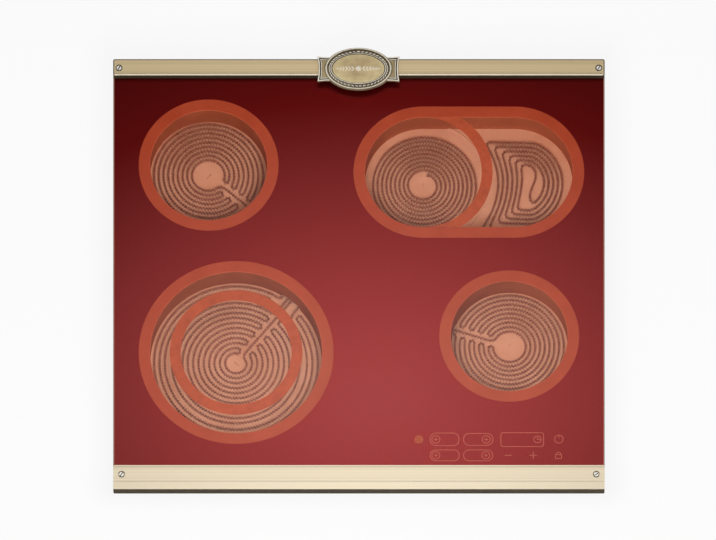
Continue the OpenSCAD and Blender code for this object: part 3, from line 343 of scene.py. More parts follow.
def add_disc(name: str, radius: float, height: float, sides: int) -> Object:
    """Adds a flat disc with no corner on X = 0, and selects it in edit mode.

    Args:
        name: Object name.
        radius: Its radius.
        height: Height that it lies at.
        sides: Number of sides.

    Returns:
        The disc.
    """
    clear_selection()
    bpy.ops.mesh.primitive_circle_add(vertices=sides, radius=mm(radius), fill_type="NGON",
                                      location=(0, 0, mm(height)), rotation=(0, 0, math.pi / sides))
    disc = settle(bpy.context.object, name)
    edit_pick(disc, Part.FACE, every)
    return disc


def add_ring(name: str, outer: float, inner: float, low: float, high: float, sides: int = 160) -> Object:
    """Adds a flat ring with square edges.

    Args:
        name: Object name.
        outer: Outer radius.
        inner: Inner radius.
        low: Height of its underside.
        high: Height of its top.
        sides: Number of sides.

    Returns:
        The ring.
    """
    ring = add_disc(name, outer, low, sides)
    raise_rim(outer - inner, high - low)
    return ring


def stretch_right(obj: Object, length: float) -> None:
    """Pulls the right half of a round piece out into a slot shape.

    Args:
        obj: The round piece, centred on X.
        length: How far the right half moves.
    """
    if length:
        edit_pick(obj, Part.VERT, lambda v: v.co.x > 0)
        shift(x=length)
        end_edit(False)


def add_prism(name: str, radius: float, low: float, high: float, stretch: float, sides: int) -> Object:
    """Adds a round or slot-shaped solid.

    Args:
        name: Object name.
        radius: Radius of its ends.
        low: Height of its foot.
        high: Height of its top.
        stretch: Distance between its two end centres.
        sides: Number of sides of a full circle.

    Returns:
        The solid.
    """
    prism = add_disc(name, radius, low, sides)
    extrude_up(high - low)
    end_edit()
    stretch_right(prism, stretch)
    return prism


def smooth(obj: Object, angle: float = 35.0) -> Object:
    """Shades an object smooth, except at edges sharper than an angle.

    Args:
        obj: The mesh object.
        angle: The angle.

    Returns:
        The same object.
    """
    activate(obj)
    bpy.ops.object.shade_smooth_by_angle(angle=math.radians(angle))
    return obj


def level_faces(obj: Object) -> Object:
    """Weights a smooth piece's normals by face area, so that its large faces look flat."""
    apply_modifier(obj, "WEIGHTED_NORMAL", weight=100, keep_sharp=True)
    return obj


def soften(obj: Object, width: float) -> Object:
    """Rounds all sharp edges of an object by a small width."""
    apply_modifier(obj, "BEVEL", width=mm(width), segments=2, limit_method="ANGLE", angle_limit=math.radians(40))
    return level_faces(smooth(obj))


def paint_faces(obj: Object, index: int, test: Test) -> None:
    """Puts the faces that pass a test in another material slot.

    Args:
        obj: The mesh object.
        index: Index of the slot.
        test: Called with each polygon.
    """
    while len(obj.data.materials) <= index:
        obj.data.materials.append(None)
    for face in obj.data.polygons:
        if test(face):
            face.material_index = index


class Wiring:
    """Adds nodes to a tree and links their sockets."""

    def __init__(self, tree: Tree) -> None:
        """Keeps the tree and empties it."""
        self.tree = tree
        tree.nodes.clear()

    def feed(self, node: Node, inputs: dict[Any, Any]) -> Node:
        """Links or sets a node's inputs.

        Args:
            node: The node.
            inputs: Sockets or values, by name or index of the input.

        Returns:
            The same node.
        """
        for key, value in inputs.items():
            if isinstance(value, Socket):
                self.tree.links.new(value, node.inputs[key])
            else:
                node.inputs[key].default_value = value
        return node

    def add(self, kind: str, inputs: dict[Any, Any] | None = None, **settings: Any) -> Node:
        """Adds one node.

        Args:
            kind: Its type.
            inputs: Sockets or values for its inputs.
            **settings: Its properties.

        Returns:
            The node.
        """
        node = self.tree.nodes.new(kind)
        for key, value in settings.items():
            setattr(node, key, value)
        return self.feed(node, inputs or {})

    def first(self, kind: str, inputs: dict[Any, Any] | None = None, **settings: Any) -> Socket:
        """Returns the first output of a new node."""
        return self.add(kind, inputs, **settings).outputs[0]

    def coords(self) -> Socket:
        """Returns Object coordinates."""
        return self.add("ShaderNodeTexCoord").outputs["Object"]

    def noise(self, vector: Any, scale: Any, detail: float = 3.0, rough: float = 0.55) -> Socket:
        """Returns noise between 0 and 1 on a vector."""
        inputs = {"Vector": vector, "Scale": scale, "Detail": detail, "Roughness": rough}
        return self.first("ShaderNodeTexNoise", inputs)

    def math(self, operation: str, first: Any, second: Any) -> Socket:
        """Returns the result of one Math node."""
        return self.first("ShaderNodeMath", {0: first, 1: second}, operation=operation)

    def spread(self, value: Any, low: float, high: float, to_low: float = 0.0, to_high: float = 1.0) -> Socket:
        """Returns a value mapped from one range to another, clamped."""
        return self.first("ShaderNodeMapRange", {0: value, 1: low, 2: high, 3: to_low, 4: to_high})

    def mix(self, factor: Any, first: Any, second: Any) -> Socket:
        """Returns the mix of two colours."""
        inputs = {0: factor, 6: rgba(first), 7: rgba(second)}
        return self.add("ShaderNodeMix", inputs, data_type="RGBA").outputs[2]

    def bump(self, height: Any, strength: float, distance: float) -> Socket:
        """Returns a normal bumped by a height."""
        return self.first("ShaderNodeBump", {"Height": height, "Strength": strength, "Distance": mm(distance)})

    def group(self, tree: Tree, **inputs: Any) -> Any:
        """Returns the outputs of a node group with values for its inputs."""
        named = {key: rgba(value) for key, value in inputs.items()}
        return self.add("ShaderNodeGroup", named, node_tree=tree).outputs

    def principled(self, base: Any, rough: Any, **others: Any) -> Socket:
        """Returns a Principled shader, with underscores for the spaces in its inputs' names."""
        named = {key.replace("_", " "): value for key, value in others.items()}
        return self.first("ShaderNodeBsdfPrincipled", {"Base Color": base, "Roughness": rough, **named})

    def surface(self, shader: Socket) -> None:
        """Links a shader to the material's output."""
        self.add("ShaderNodeOutputMaterial", {"Surface": shader})


def rgba(value: Any) -> Any:
    """Returns a colour with alpha 1, or the value itself if it is something else."""
    return (*value, 1.0) if isinstance(value, tuple) and len(value) == 3 else value


def shade(colour: Colour, factor: float, more: float = 0.0) -> Colour:
    """Returns a colour times a factor plus an even amount, at most 1."""
    return tuple(min(1.0, c * factor + more) for c in colour)


def new_group(name: str, inputs: dict[str, Any], **outputs: str) -> tuple[Wiring, Any, Node]:
    """Makes an empty shader node group.

    Args:
        name: Group name.
        inputs: Default value of each input, a number or a colour.
        **outputs: Socket type of each output.

    Returns:
        The group's wiring, the sockets of its inputs and its output node.
    """
    tree = bpy.data.node_groups.new(name, "ShaderNodeTree")
    wiring = Wiring(tree)
    for key, value in inputs.items():
        kind = COLOUR if isinstance(value, tuple) else VALUE
        tree.interface.new_socket(name=key, in_out="INPUT", socket_type=kind).default_value = rgba(value)
    for key, kind in outputs.items():
        tree.interface.new_socket(name=key, in_out="OUTPUT", socket_type=kind)
    return wiring, wiring.add("NodeGroupInput").outputs, wiring.add("NodeGroupOutput")


def brushed_grain() -> Tree:
    """Builds the group of brush lines and broad streaks along X.

    Returns:
        The group, with outputs Lines and Streaks.
    """
    w, given, out = new_group("brushed_grain", {"Along": 4.0, "Across": 900.0}, Lines=VALUE, Streaks=VALUE)
    place = w.add("ShaderNodeSeparateXYZ", {0: w.coords()}).outputs
    x, y, z = (w.math("MULTIPLY", place[i], given[key]) for i, key in enumerate(("Along", "Across", "Across")))
    broad = 0.16
    fine = w.first("ShaderNodeCombineXYZ", {0: x, 1: y, 2: z})
    wide = w.first("ShaderNodeCombineXYZ", {0: x, 1: w.math("MULTIPLY", y, broad), 2: w.math("MULTIPLY", z, broad)})
    w.feed(out, {"Lines": w.noise(fine, 1.0, 4.0, 0.7), "Streaks": w.spread(w.noise(wide, 0.9, 3.0, 0.5), 0.3, 0.7)})
    return w.tree


def edge_wear() -> Tree:
    """Builds the group that brightens edges, as wear and painted highlight, and darkens hollows as painted shade.

    Returns:
        The group, with output Colour.
    """
    given = {"Colour": (0.5, 0.5, 0.5), "Worn": (0.9, 0.9, 0.9), "Dirty": (0.05, 0.04, 0.03), "Wear": 0.5, "Dirt": 0.5}
    w, given, out = new_group("edge_wear", given, Colour=COLOUR)
    point = w.add("ShaderNodeNewGeometry").outputs["Pointiness"]
    # Edges lighten as wear and painted highlight; hollows darken as painted shade.
    edge_patches = w.spread(w.noise(w.coords(), 180.0), 0.35, 0.65, 0.3, 1.0)
    edge = w.math("MULTIPLY", w.spread(point, 0.51, 0.58), edge_patches)
    hollow = w.spread(point, 0.49, 0.42)
    edge_toned = w.mix(w.math("MULTIPLY", edge, given["Wear"]), given["Colour"], given["Worn"])
    w.feed(out, {"Colour": w.mix(w.math("MULTIPLY", hollow, given["Dirt"]), edge_toned, given["Dirty"])})
    return w.tree


def grit() -> Tree:
    """Builds the group of fine grit and soft blotches.

    Returns:
        The group, with outputs Fine and Blotch.
    """
    w, given, out = new_group("grit", {"Scale": 900.0}, Fine=VALUE, Blotch=VALUE)
    fine = w.noise(w.coords(), given["Scale"], 4.0, 0.65)
    blotch = w.noise(w.coords(), w.math("MULTIPLY", given["Scale"], 0.04), 3.0, 0.5)
    w.feed(out, {"Fine": fine, "Blotch": w.spread(blotch, 0.3, 0.7)})
    return w.tree


GRAIN = brushed_grain()
WEAR_HIGHLIGHT_AND_SHADE = edge_wear()
GRIT = grit()


def new_material(name: str) -> tuple[Material, Wiring]:
    """Makes an empty node material.

    Args:
        name: Material name.

    Returns:
        The material and its wiring.
    """
    material = bpy.data.materials.new(name)
    material.use_nodes = True
    return material, Wiring(material.node_tree)


@dataclass(frozen=True)
class Finish:
    """A finish, which becomes a material of the same name."""

    name: str

    def shader(self, w: Wiring) -> Socket:
        """Returns the shader that a kind of finish wires in its material."""
        raise NotImplementedError

    def make(self) -> Material:
        """Builds the finish's material.

        Returns:
            The material.
        """
        material, w = new_material(self.name)
        w.surface(self.shader(w))
        return material


@dataclass(frozen=True)
class Brass(Finish):
    """Brushed or cast brass with streaks, edges brightened as wear and painted highlight, and painted shade in its
    hollows.
    """

    light: Colour
    dark: Colour
    metallic: float = 0.75
    roughness: float = 0.38
    along: float = 5.0
    across: float = 900.0
    stipple: float = 0.0
    wear: float = 0.8

    def shader(self, w: Wiring) -> Socket:
        """Wires the brass.

        Args:
            w: Wiring of its material.

        Returns:
            The shader.
        """
        grain = w.group(GRAIN, Along=self.along, Across=self.across)
        base = w.mix(grain["Streaks"], self.dark, self.light)
        lined = w.mix(w.spread(grain["Lines"], 0.35, 0.65, 0.0, 0.3), base, shade(self.dark, 0.7))
        # Edges brighten as wear and painted highlight; hollows darken to near black as painted shade.
        edge_toned = w.group(WEAR_HIGHLIGHT_AND_SHADE, Colour=lined, Worn=shade(self.light, 1.35), Dirty=shade(self.dark, 0.12),
                       Wear=self.wear, Dirt=0.8)["Colour"]
        rough = w.spread(grain["Lines"], 0.3, 0.7, self.roughness - 0.07, self.roughness + 0.09)
        if self.stipple:
            normal = w.bump(w.group(GRIT, Scale=self.stipple)["Fine"], 0.55, 0.25)
        else:
            normal = w.bump(grain["Lines"], 0.2, 0.04)
        return w.principled(edge_toned, rough, Metallic=self.metallic, Normal=normal)


@dataclass(frozen=True)
class Steel(Finish):
    """Sheet steel with spangle or rolling marks."""

    tint: Colour
    roughness: float = 0.42
    metallic: float = 0.8
    spangle: float = 0.0
    across: float = 500.0
    dust: Colour = (0.30, 0.27, 0.24)

    def shader(self, w: Wiring) -> Socket:
        """Wires the steel.

        Args:
            w: Wiring of its material.

        Returns:
            The shader.
        """
        if self.spangle:
            cells = w.add("ShaderNodeTexVoronoi", {"Vector": w.coords(), "Scale": self.spangle}).outputs["Color"]
            tone = w.first("ShaderNodeSeparateColor", {0: cells})
        else:
            tone = w.group(GRAIN, Along=12.0, Across=self.across)["Lines"]
        marks = w.group(GRIT, Scale=420.0)
        base = w.mix(w.spread(tone, 0.1, 0.9), shade(self.tint, 0.72), self.tint)
        dusty = w.mix(w.math("MULTIPLY", marks["Blotch"], 0.18), base, self.dust)
        # Edges brighten as wear and painted highlight; hollows darken as painted shade.
        edge_toned = w.group(WEAR_HIGHLIGHT_AND_SHADE, Colour=dusty, Worn=(0.85, 0.85, 0.85), Dirty=(0.10, 0.09, 0.08), Wear=0.5, Dirt=0.5)
        rough = w.spread(tone, 0.0, 1.0, self.roughness - 0.1, self.roughness + 0.1)
        normal = w.bump(marks["Fine"], 0.12, 0.05)
        return w.principled(edge_toned["Colour"], rough, Metallic=self.metallic, Normal=normal)


@dataclass(frozen=True)
class Fibre(Finish):
    """Pressed fibre insulation, matt and slightly speckled."""

    light: Colour
    dark: Colour
    grain: float = 700.0
    roughness: float = 0.95
    shine: float = 0.15

    def shader(self, w: Wiring) -> Socket:
        """Wires the fibre.

        Args:
            w: Wiring of its material.

        Returns:
            The shader.
        """
        flecks = w.group(GRIT, Scale=self.grain)
        tone = w.math("ADD", w.math("MULTIPLY", flecks["Fine"], 0.6), w.math("MULTIPLY", flecks["Blotch"], 0.4))
        base = w.mix(w.spread(tone, 0.3, 0.7), self.dark, self.light)
        normal = w.bump(flecks["Fine"], 0.5, 0.3)
        return w.principled(base, self.roughness, Specular_IOR_Level=self.shine, Normal=normal)


@dataclass(frozen=True)
class Moulded(Finish):
    """Moulded plastic, rubber or ceramic with a fine grain."""

    tint: Colour
    roughness: float = 0.55
    grain: float = 1400.0
    relief: float = 0.05
    shine: float = 0.5

    def shader(self, w: Wiring) -> Socket:
        """Wires the moulded finish.

        Args:
            w: Wiring of its material.

        Returns:
            The shader.
        """
        texture = w.group(GRIT, Scale=self.grain)
        base = w.mix(texture["Blotch"], shade(self.tint, 0.8), self.tint)
        # Edges brighten as wear and painted highlight; hollows darken as painted shade.
        edge_toned = w.group(WEAR_HIGHLIGHT_AND_SHADE, Colour=base, Worn=shade(self.tint, 1.3, 0.04), Dirty=shade(self.tint, 0.4),
                       Wear=0.4, Dirt=0.4)
        rough = w.spread(texture["Fine"], 0.3, 0.7, self.roughness - 0.08, self.roughness + 0.08)
        normal = w.bump(texture["Fine"], 0.4, self.relief)
        return w.principled(edge_toned["Colour"], rough, Specular_IOR_Level=self.shine, Normal=normal)


@dataclass(frozen=True)
class Board(Finish):
    """Circuit board with solder mask and copper tracks."""

    mask: Colour = (0.015, 0.12, 0.05)
    track: Colour = (0.04, 0.25, 0.10)

    def shader(self, w: Wiring) -> Socket:
        """Wires the board.

        Args:
            w: Wiring of its material.

        Returns:
            The shader.
        """
        black = (0, 0, 0, 1)
        grid = w.first("ShaderNodeTexBrick", {"Vector": w.coords(), "Scale": 90.0, "Mortar Size": 0.06,
                                              "Color1": black, "Color2": black, "Mortar": WHITE})
        texture = w.group(GRIT, Scale=1200.0)
        base = w.mix(grid, w.mix(texture["Blotch"], shade(self.mask, 0.8), self.mask), self.track)
        return w.principled(base, w.spread(texture["Fine"], 0.3, 0.7, 0.3, 0.45), Normal=w.bump(grid, 0.3, 0.05))


@dataclass(frozen=True)
class ClearGlass(Finish):
    """Polished ceramic glass that tints what lies below it."""

    tint: Colour
    roughness: float = 0.03
    index: float = 1.45

    def shader(self, w: Wiring) -> Socket:
        """Wires the glass, which lets shadow rays through.

        Args:
            w: Wiring of its material.

        Returns:
            The shader.
        """
        shadow = w.add("ShaderNodeLightPath").outputs["Is Shadow Ray"]
        facing = w.math("SUBTRACT", 1.0, w.add("ShaderNodeNewGeometry").outputs["Backfacing"])
        shine = w.math("MULTIPLY", w.first("ShaderNodeFresnel", {"IOR": self.index}), facing)
        clear = w.first("ShaderNodeBsdfTransparent", {"Color": rgba(self.tint)})
        gloss = w.first("ShaderNodeBsdfGlossy", {"Color": WHITE, "Roughness": self.roughness})
        seen = w.first("ShaderNodeMixShader", {0: shine, 1: clear, 2: gloss})
        open_air = w.first("ShaderNodeBsdfTransparent", {"Color": WHITE})
        return w.first("ShaderNodeMixShader", {0: shadow, 1: seen, 2: open_air})


@dataclass(frozen=True)
class PearlPrint(Finish):
    """Printed layer below the glass, with a pearl pigment that brightens towards the lamp."""

    tint: Colour
    metallic: float = 0.96
    roughness: float = 0.29

    def shader(self, w: Wiring) -> Socket:
        """Wires the print.

        Args:
            w: Wiring of its material.

        Returns:
            The shader.
        """
        fine = w.group(GRIT, Scale=2200.0)["Fine"]
        base = w.mix(w.spread(fine, 0.35, 0.65), shade(self.tint, 0.92), self.tint)
        rough = w.spread(fine, 0.3, 0.7, self.roughness - 0.03, self.roughness + 0.03)
        return w.principled(base, rough, Metallic=self.metallic)


BRUSHED = {"along": 0.3, "across": 520.0, "wear": 0.0}
CAST = {"along": 60.0, "across": 200.0}
FINISHES = (
    # The two bar brasses are one brass in two tones: the front bar's is painted lighter and the rear bar's darker, as
    # painted light and shade.
    Brass("rear_brass", (1.0, 0.80, 0.47), (0.72, 0.54, 0.30), 0.35, **BRUSHED),
    Brass("front_brass", (1.0, 0.88, 0.65), (0.93, 0.78, 0.56), 0.3, **BRUSHED),
    # Near-black brass for the bars' upright faces and rounded ends: painted shade.
    Brass("brass_face", (0.070, 0.048, 0.026), (0.040, 0.027, 0.014), 0.0, 0.9),
    # Pale brass for the bars' rounded top edges: painted highlight.
    Brass("brass_edge", (1.0, 0.90, 0.70), (0.94, 0.80, 0.60), 0.2, 0.3, **BRUSHED),
    # Dark cast brass, darkened further to stand in for the shade on the roll's back: partly the brass's own tone,
    # partly painted shade.
    Brass("medallion_brass", (0.42, 0.34, 0.21), (0.15, 0.115, 0.07), 0.35, 0.34, **CAST),
    Brass("medallion_field", (0.90, 0.71, 0.39), (0.58, 0.43, 0.22), 0.3, 0.4, stipple=900.0, **CAST),
    # Pale brass for the medallion's ridges, borders and leaves: painted highlight.
    Brass("medallion_edge", (1.0, 0.91, 0.72), (0.92, 0.78, 0.56), 0.2, 0.3, **CAST),
    # Near-black brass for the medallion's grooves and the screws' slopes and slots: painted shade.
    Brass("medallion_hollow", (0.06, 0.042, 0.024), (0.03, 0.02, 0.012), 0.15, 0.6, **CAST),
    Brass("screw_brass", (1.0, 0.97, 0.90), (0.95, 0.88, 0.76), 0.2, 0.3, 200.0, 400.0),
    ClearGlass("ceramic_glass", (0.93, 0.70, 0.59)),
    Moulded("glass_edge", (0.035, 0.004, 0.005), 0.15, 300.0, 0.01, 0.6),
    PearlPrint("pearl_print", (0.50, 0.025, 0.031)),
    Moulded("mark_print", (0.56, 0.14, 0.11), 0.6, 2000.0, 0.01, 0.3),
    Moulded("amber_print", (0.66, 0.25, 0.07), 0.5, 2000.0, 0.01, 0.4),
    Fibre("insulation_base", (0.90, 0.81, 0.73), (0.80, 0.67, 0.57)),
    Fibre("insulation_ring", (0.54, 0.172, 0.112), (0.48, 0.145, 0.092)),
    # Darker fibre for the rings' inner walls: painted shade.
    Fibre("insulation_wall", (0.64, 0.31, 0.21), (0.55, 0.25, 0.165)),
    # Lighter fibre for the rings' rounded inner edges: painted highlight.
    Fibre("ring_edge", (0.64, 0.26, 0.175), (0.56, 0.22, 0.15)),
    Moulded("band_print", (0.50, 0.112, 0.046), 0.6, 1500.0, 0.01, 0.3),
    Steel("heating_ribbon", (0.56, 0.195, 0.135), 0.32, 0.5, 0.0, 300.0),
    Moulded("foam_seal", (0.03, 0.03, 0.03), 0.9, 2600.0, 0.3, 0.2),
    Moulded("silicone", (0.012, 0.012, 0.012), 0.4, 300.0, 0.05),
    Steel("zinc_steel", (0.72, 0.71, 0.66), 0.35, 0.85, 0.0, 700.0),
    Steel("galvanised_steel", (0.66, 0.67, 0.68), 0.42, 0.75, 140.0),
    Steel("dish_steel", (0.62, 0.61, 0.58), 0.45, 0.8, 0.0, 400.0),
    Steel("spring_steel", (0.22, 0.22, 0.24), 0.35, 0.9, 0.0, 800.0),
    Steel("clamp_steel", (0.55, 0.55, 0.52), 0.4, 0.85, 220.0),
    Steel("aluminium_sheet", (0.78, 0.78, 0.78), 0.35, 0.9, 0.0, 600.0),
    Moulded("terminal_ceramic", (0.80, 0.76, 0.68), 0.7, 900.0, 0.1),
    Moulded("black_plastic", (0.025, 0.025, 0.027), 0.5),
    Moulded("white_plastic", (0.78, 0.77, 0.72), 0.45),
    Board("circuit_board"),
    Moulded("pad_foam", (0.04, 0.04, 0.04), 0.9, 2600.0, 0.3, 0.2),
    Moulded("display_block", (0.12, 0.015, 0.015), 0.3),
    Moulded("board_parts", (0.11, 0.11, 0.13), 0.5),
    Moulded("wire_sleeve", (0.38, 0.05, 0.035), 0.5, 500.0, 0.05),
    Moulded("flat_cable", (0.62, 0.62, 0.62), 0.4),
)
MATERIALS = {finish.name: finish.make() for finish in FINISHES}


def set_materials(obj: Object, names: Sequence[str]) -> None:
    """Puts materials in an object's slots.

    Args:
        obj: The mesh object.
        names: The materials' names, in order.
    """
    while len(obj.data.materials) < len(names):
        obj.data.materials.append(None)
    for index, name in enumerate(names):
        obj.data.materials[index] = MATERIALS[name]


def dress(obj: Object, slot: str, replaced: Sequence[str] = (), looks: Sequence[str] = (), body: str = ROOT) -> None:
    """Gives a piece its materials and body, hides the CAD nodes that it stands for, and reports it.

    Args:
        obj: The finished piece.
        slot: The record's material slot.
        replaced: CAD nodes that it stands for.
        looks: Its materials in order, if not just the slot's own.
        body: CAD body that it rides on.
    """
    set_materials(obj, looks or (slot,))
    if replaced:
        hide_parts(*replaced)
    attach(obj, body)
    log.info("%s: %d faces on %s", obj.name, len(obj.data.polygons), body)


@dataclass
class GlassPanel:
    """The glass and the print below it with its four windows."""

    half_w: float = 295.0
    half_d: float = 255.0
    low: float = 3.0
    high: float = 7.0
    corner: float = 3.0
    edge: float = 1.0
    edge_share: float = 1.2
    print_inset: float = 1.05
    print_low: float = 3.03
    print_high: float = 3.06

    def slab(self) -> Object:
        """Builds the glass with its rounded corners and ground edges.

        Returns:
            The glass.
        """
        glass = add_box("glass_panel", (-self.half_w, -self.half_d, self.low), (self.half_w, self.half_d, self.high))
        bevel_edges(glass, rises, self.corner, 6)
        bevel_edges(glass, lambda e: not rises(e) and any(abs(f.normal.z) < 0.1 for f in e.link_faces), self.edge, 4)
        x, y = (mm(half - self.edge * self.edge_share) for half in (self.half_w, self.half_d))
        paint_faces(glass, 1, lambda f: abs(f.normal.z) < 0.9 and (abs(f.center.y) > y or abs(f.center.x) > x))
        return level_faces(smooth(glass))

    def printed_layer(self, zones: Sequence["HeatingZone"]) -> Object:
        """Builds the printed layer with a window over each zone.

        Args:
            zones: The heating zones.

        Returns:
            The printed layer.
        """
        w, d = self.half_w - self.print_inset, self.half_d - self.print_inset
        sheet = add_box("printed_layer", (-w, -d, self.print_low), (w, d, self.print_high))
        bevel_edges(sheet, rises, self.corner - self.print_inset, 4)
        return cut_with(sheet, [zone.window(self.print_low - 1, self.print_high + 1) for zone in zones])

    def build(self, zones: Sequence["HeatingZone"]) -> None:
        """Builds and dresses the glass and its print with windows over the zones."""
        dress(self.slab(), "ceramic_glass", ["glass_panel"], ["ceramic_glass", "glass_edge"])
        dress(self.printed_layer(zones), "ceramic_glass", looks=["pearl_print"])


@dataclass
class KeyMarks:
    """Thin printed marks over the touch keys, between the glass and its print."""

    low: float = 3.08
    high: float = 3.10
    line: float = 0.85
    half: float = 0.45
    frames: tuple[tuple[float, ...], ...] = (
        (85.1, -219.1, 120.5, -202.1, 7.5), (125.2, -218.7, 161.3, -202.6, 7.5), (85.1, -238.5, 120.9, -223.7, 7.0),
        (125.2, -238.5, 161.0, -223.7, 7.0), (170.0, -220.2, 222.1, -201.7, 3.0),
    )
    keys: tuple[Point, ...] = ((92.4, -210.7), (152.8, -210.7), (92.4, -231.0), (152.3, -231.0))
    key_r: float = 5.2
    key_half: float = 2.2
    clock: Point = (214.3, -210.7)
    clock_r: float = 4.8
    minus: Point = (179.1, -231.0)
    plus: Point = (209.3, -231.0)
    power: Point = (240.0, -210.3)
    power_r: float = 5.5
    lock: Point = (239.6, -230.6)
    lock_r: float = 2.9
    dots: Point = (71.9, -210.7)
    dot_pitch: float = 2.1
    dot_r: float = 0.72

    def outline(self, x0: float, y0: float, x1: float, y1: float, corner: float) -> Object:
        """Builds a thin rectangle outline with rounded corners.

        Args:
            x0: Left edge.
            y0: Front edge.
            x1: Right edge.
            y1: Rear edge.
            corner: Corner radius.

        Returns:
            The outline.
        """
        clear_selection()
        bpy.ops.mesh.primitive_plane_add(size=1.0, location=(mm(x0 + x1) / 2, mm(y0 + y1) / 2, mm(self.low)))
        bpy.context.object.scale = (mm(x1 - x0), mm(y1 - y0), 1.0)
        mark = settle(bpy.context.object, "outline")
        edit_pick(mark, Part.VERT, every)
        bpy.ops.mesh.bevel(offset=mm(corner), segments=6, affect="VERTICES")
        bpy.ops.mesh.select_all(action="SELECT")
        raise_rim(self.line, self.high - self.low)
        return mark

    def loop(self, place: Point, radius: float) -> Object:
        """Returns a thin circle outline round a place."""
        return put(add_ring("loop", radius, radius - self.line, self.low, self.high, 40), "loop", place)

    def block(self, x: Point, y: Point) -> Object:
        """Returns a cutter over a range of X and of Y."""
        return add_box("block", (x[0], y[0], 0), (x[1], y[1], 9))

    def stroke(self, place: Point, half_x: float, half_y: float) -> Object:
        """Builds a straight stroke with small rounded corners.

        Args:
            place: Its middle.
            half_x: Half its size along X.
            half_y: Half its size along Y.

        Returns:
            The stroke.
        """
        x, y = place
        bar = add_box("stroke", (x - half_x, y - half_y, self.low), (x + half_x, y + half_y, self.high))
        bevel_edges(bar, rises, min(half_x, half_y) * 0.8, 3)
        return bar

    def cross(self, place: Point, reach: float, half: float) -> list[Object]:
        """Returns two crossing strokes with a reach and a half width."""
        return [self.stroke(place, reach, half), self.stroke(place, half, reach)]

    def power_mark(self) -> list[Object]:
        """Builds an open circle with a stroke in its gap.

        Returns:
            The circle and the stroke.
        """
        x, y = self.power
        circle = self.loop(self.power, self.power_r)
        cut_with(circle, [self.block((x - 1.6, x + 1.6), (y + 2, y + 8))])
        return [circle, self.stroke((x, y + 4), self.half, 2.6)]

    def lock_mark(self) -> list[Object]:
        """Builds a small padlock.

        Returns:
            Its shackle and its body.
        """
        x, y = self.lock
        shackle = self.loop((x, y + 1.2), self.lock_r)
        cut_with(shackle, [self.block((x - 9, x + 9), (y - 9, y + 1.0))])
        return [shackle, self.outline(x - 4, y - 5, x + 4, y + 1, 0.9)]

    def build(self) -> None:
        """Builds and dresses the marks and the amber indicator."""
        marks = [self.outline(*sizes) for sizes in self.frames]
        for place in self.keys:
            marks += [self.loop(place, self.key_r), *self.cross(place, self.key_half, self.half)]
        x, y = self.clock
        marks += [self.loop(self.clock, self.clock_r), self.stroke((x, y + 1.4), self.half, 1.7),
                  self.stroke((x + 1.3, y), 1.6, self.half), self.stroke(self.minus, 4.3, 0.5),
                  *self.cross(self.plus, 4.6, 0.5)]
        marks += self.power_mark() + self.lock_mark()
        dress(joined(marks, "key_marks"), "ceramic_glass", looks=["mark_print"])
        x, y = self.dots
        grid = [(i, k) for k in range(-2, 3) for i in range(-2, 3) if i * i + k * k < 7]
        dots = [add_rod("dot", (x + self.dot_pitch * i, y + self.dot_pitch * k), self.dot_r, self.low, self.high, 12)
                for i, k in grid]
        dress(joined(dots, "indicator_dots"), "ceramic_glass", looks=["amber_print"])


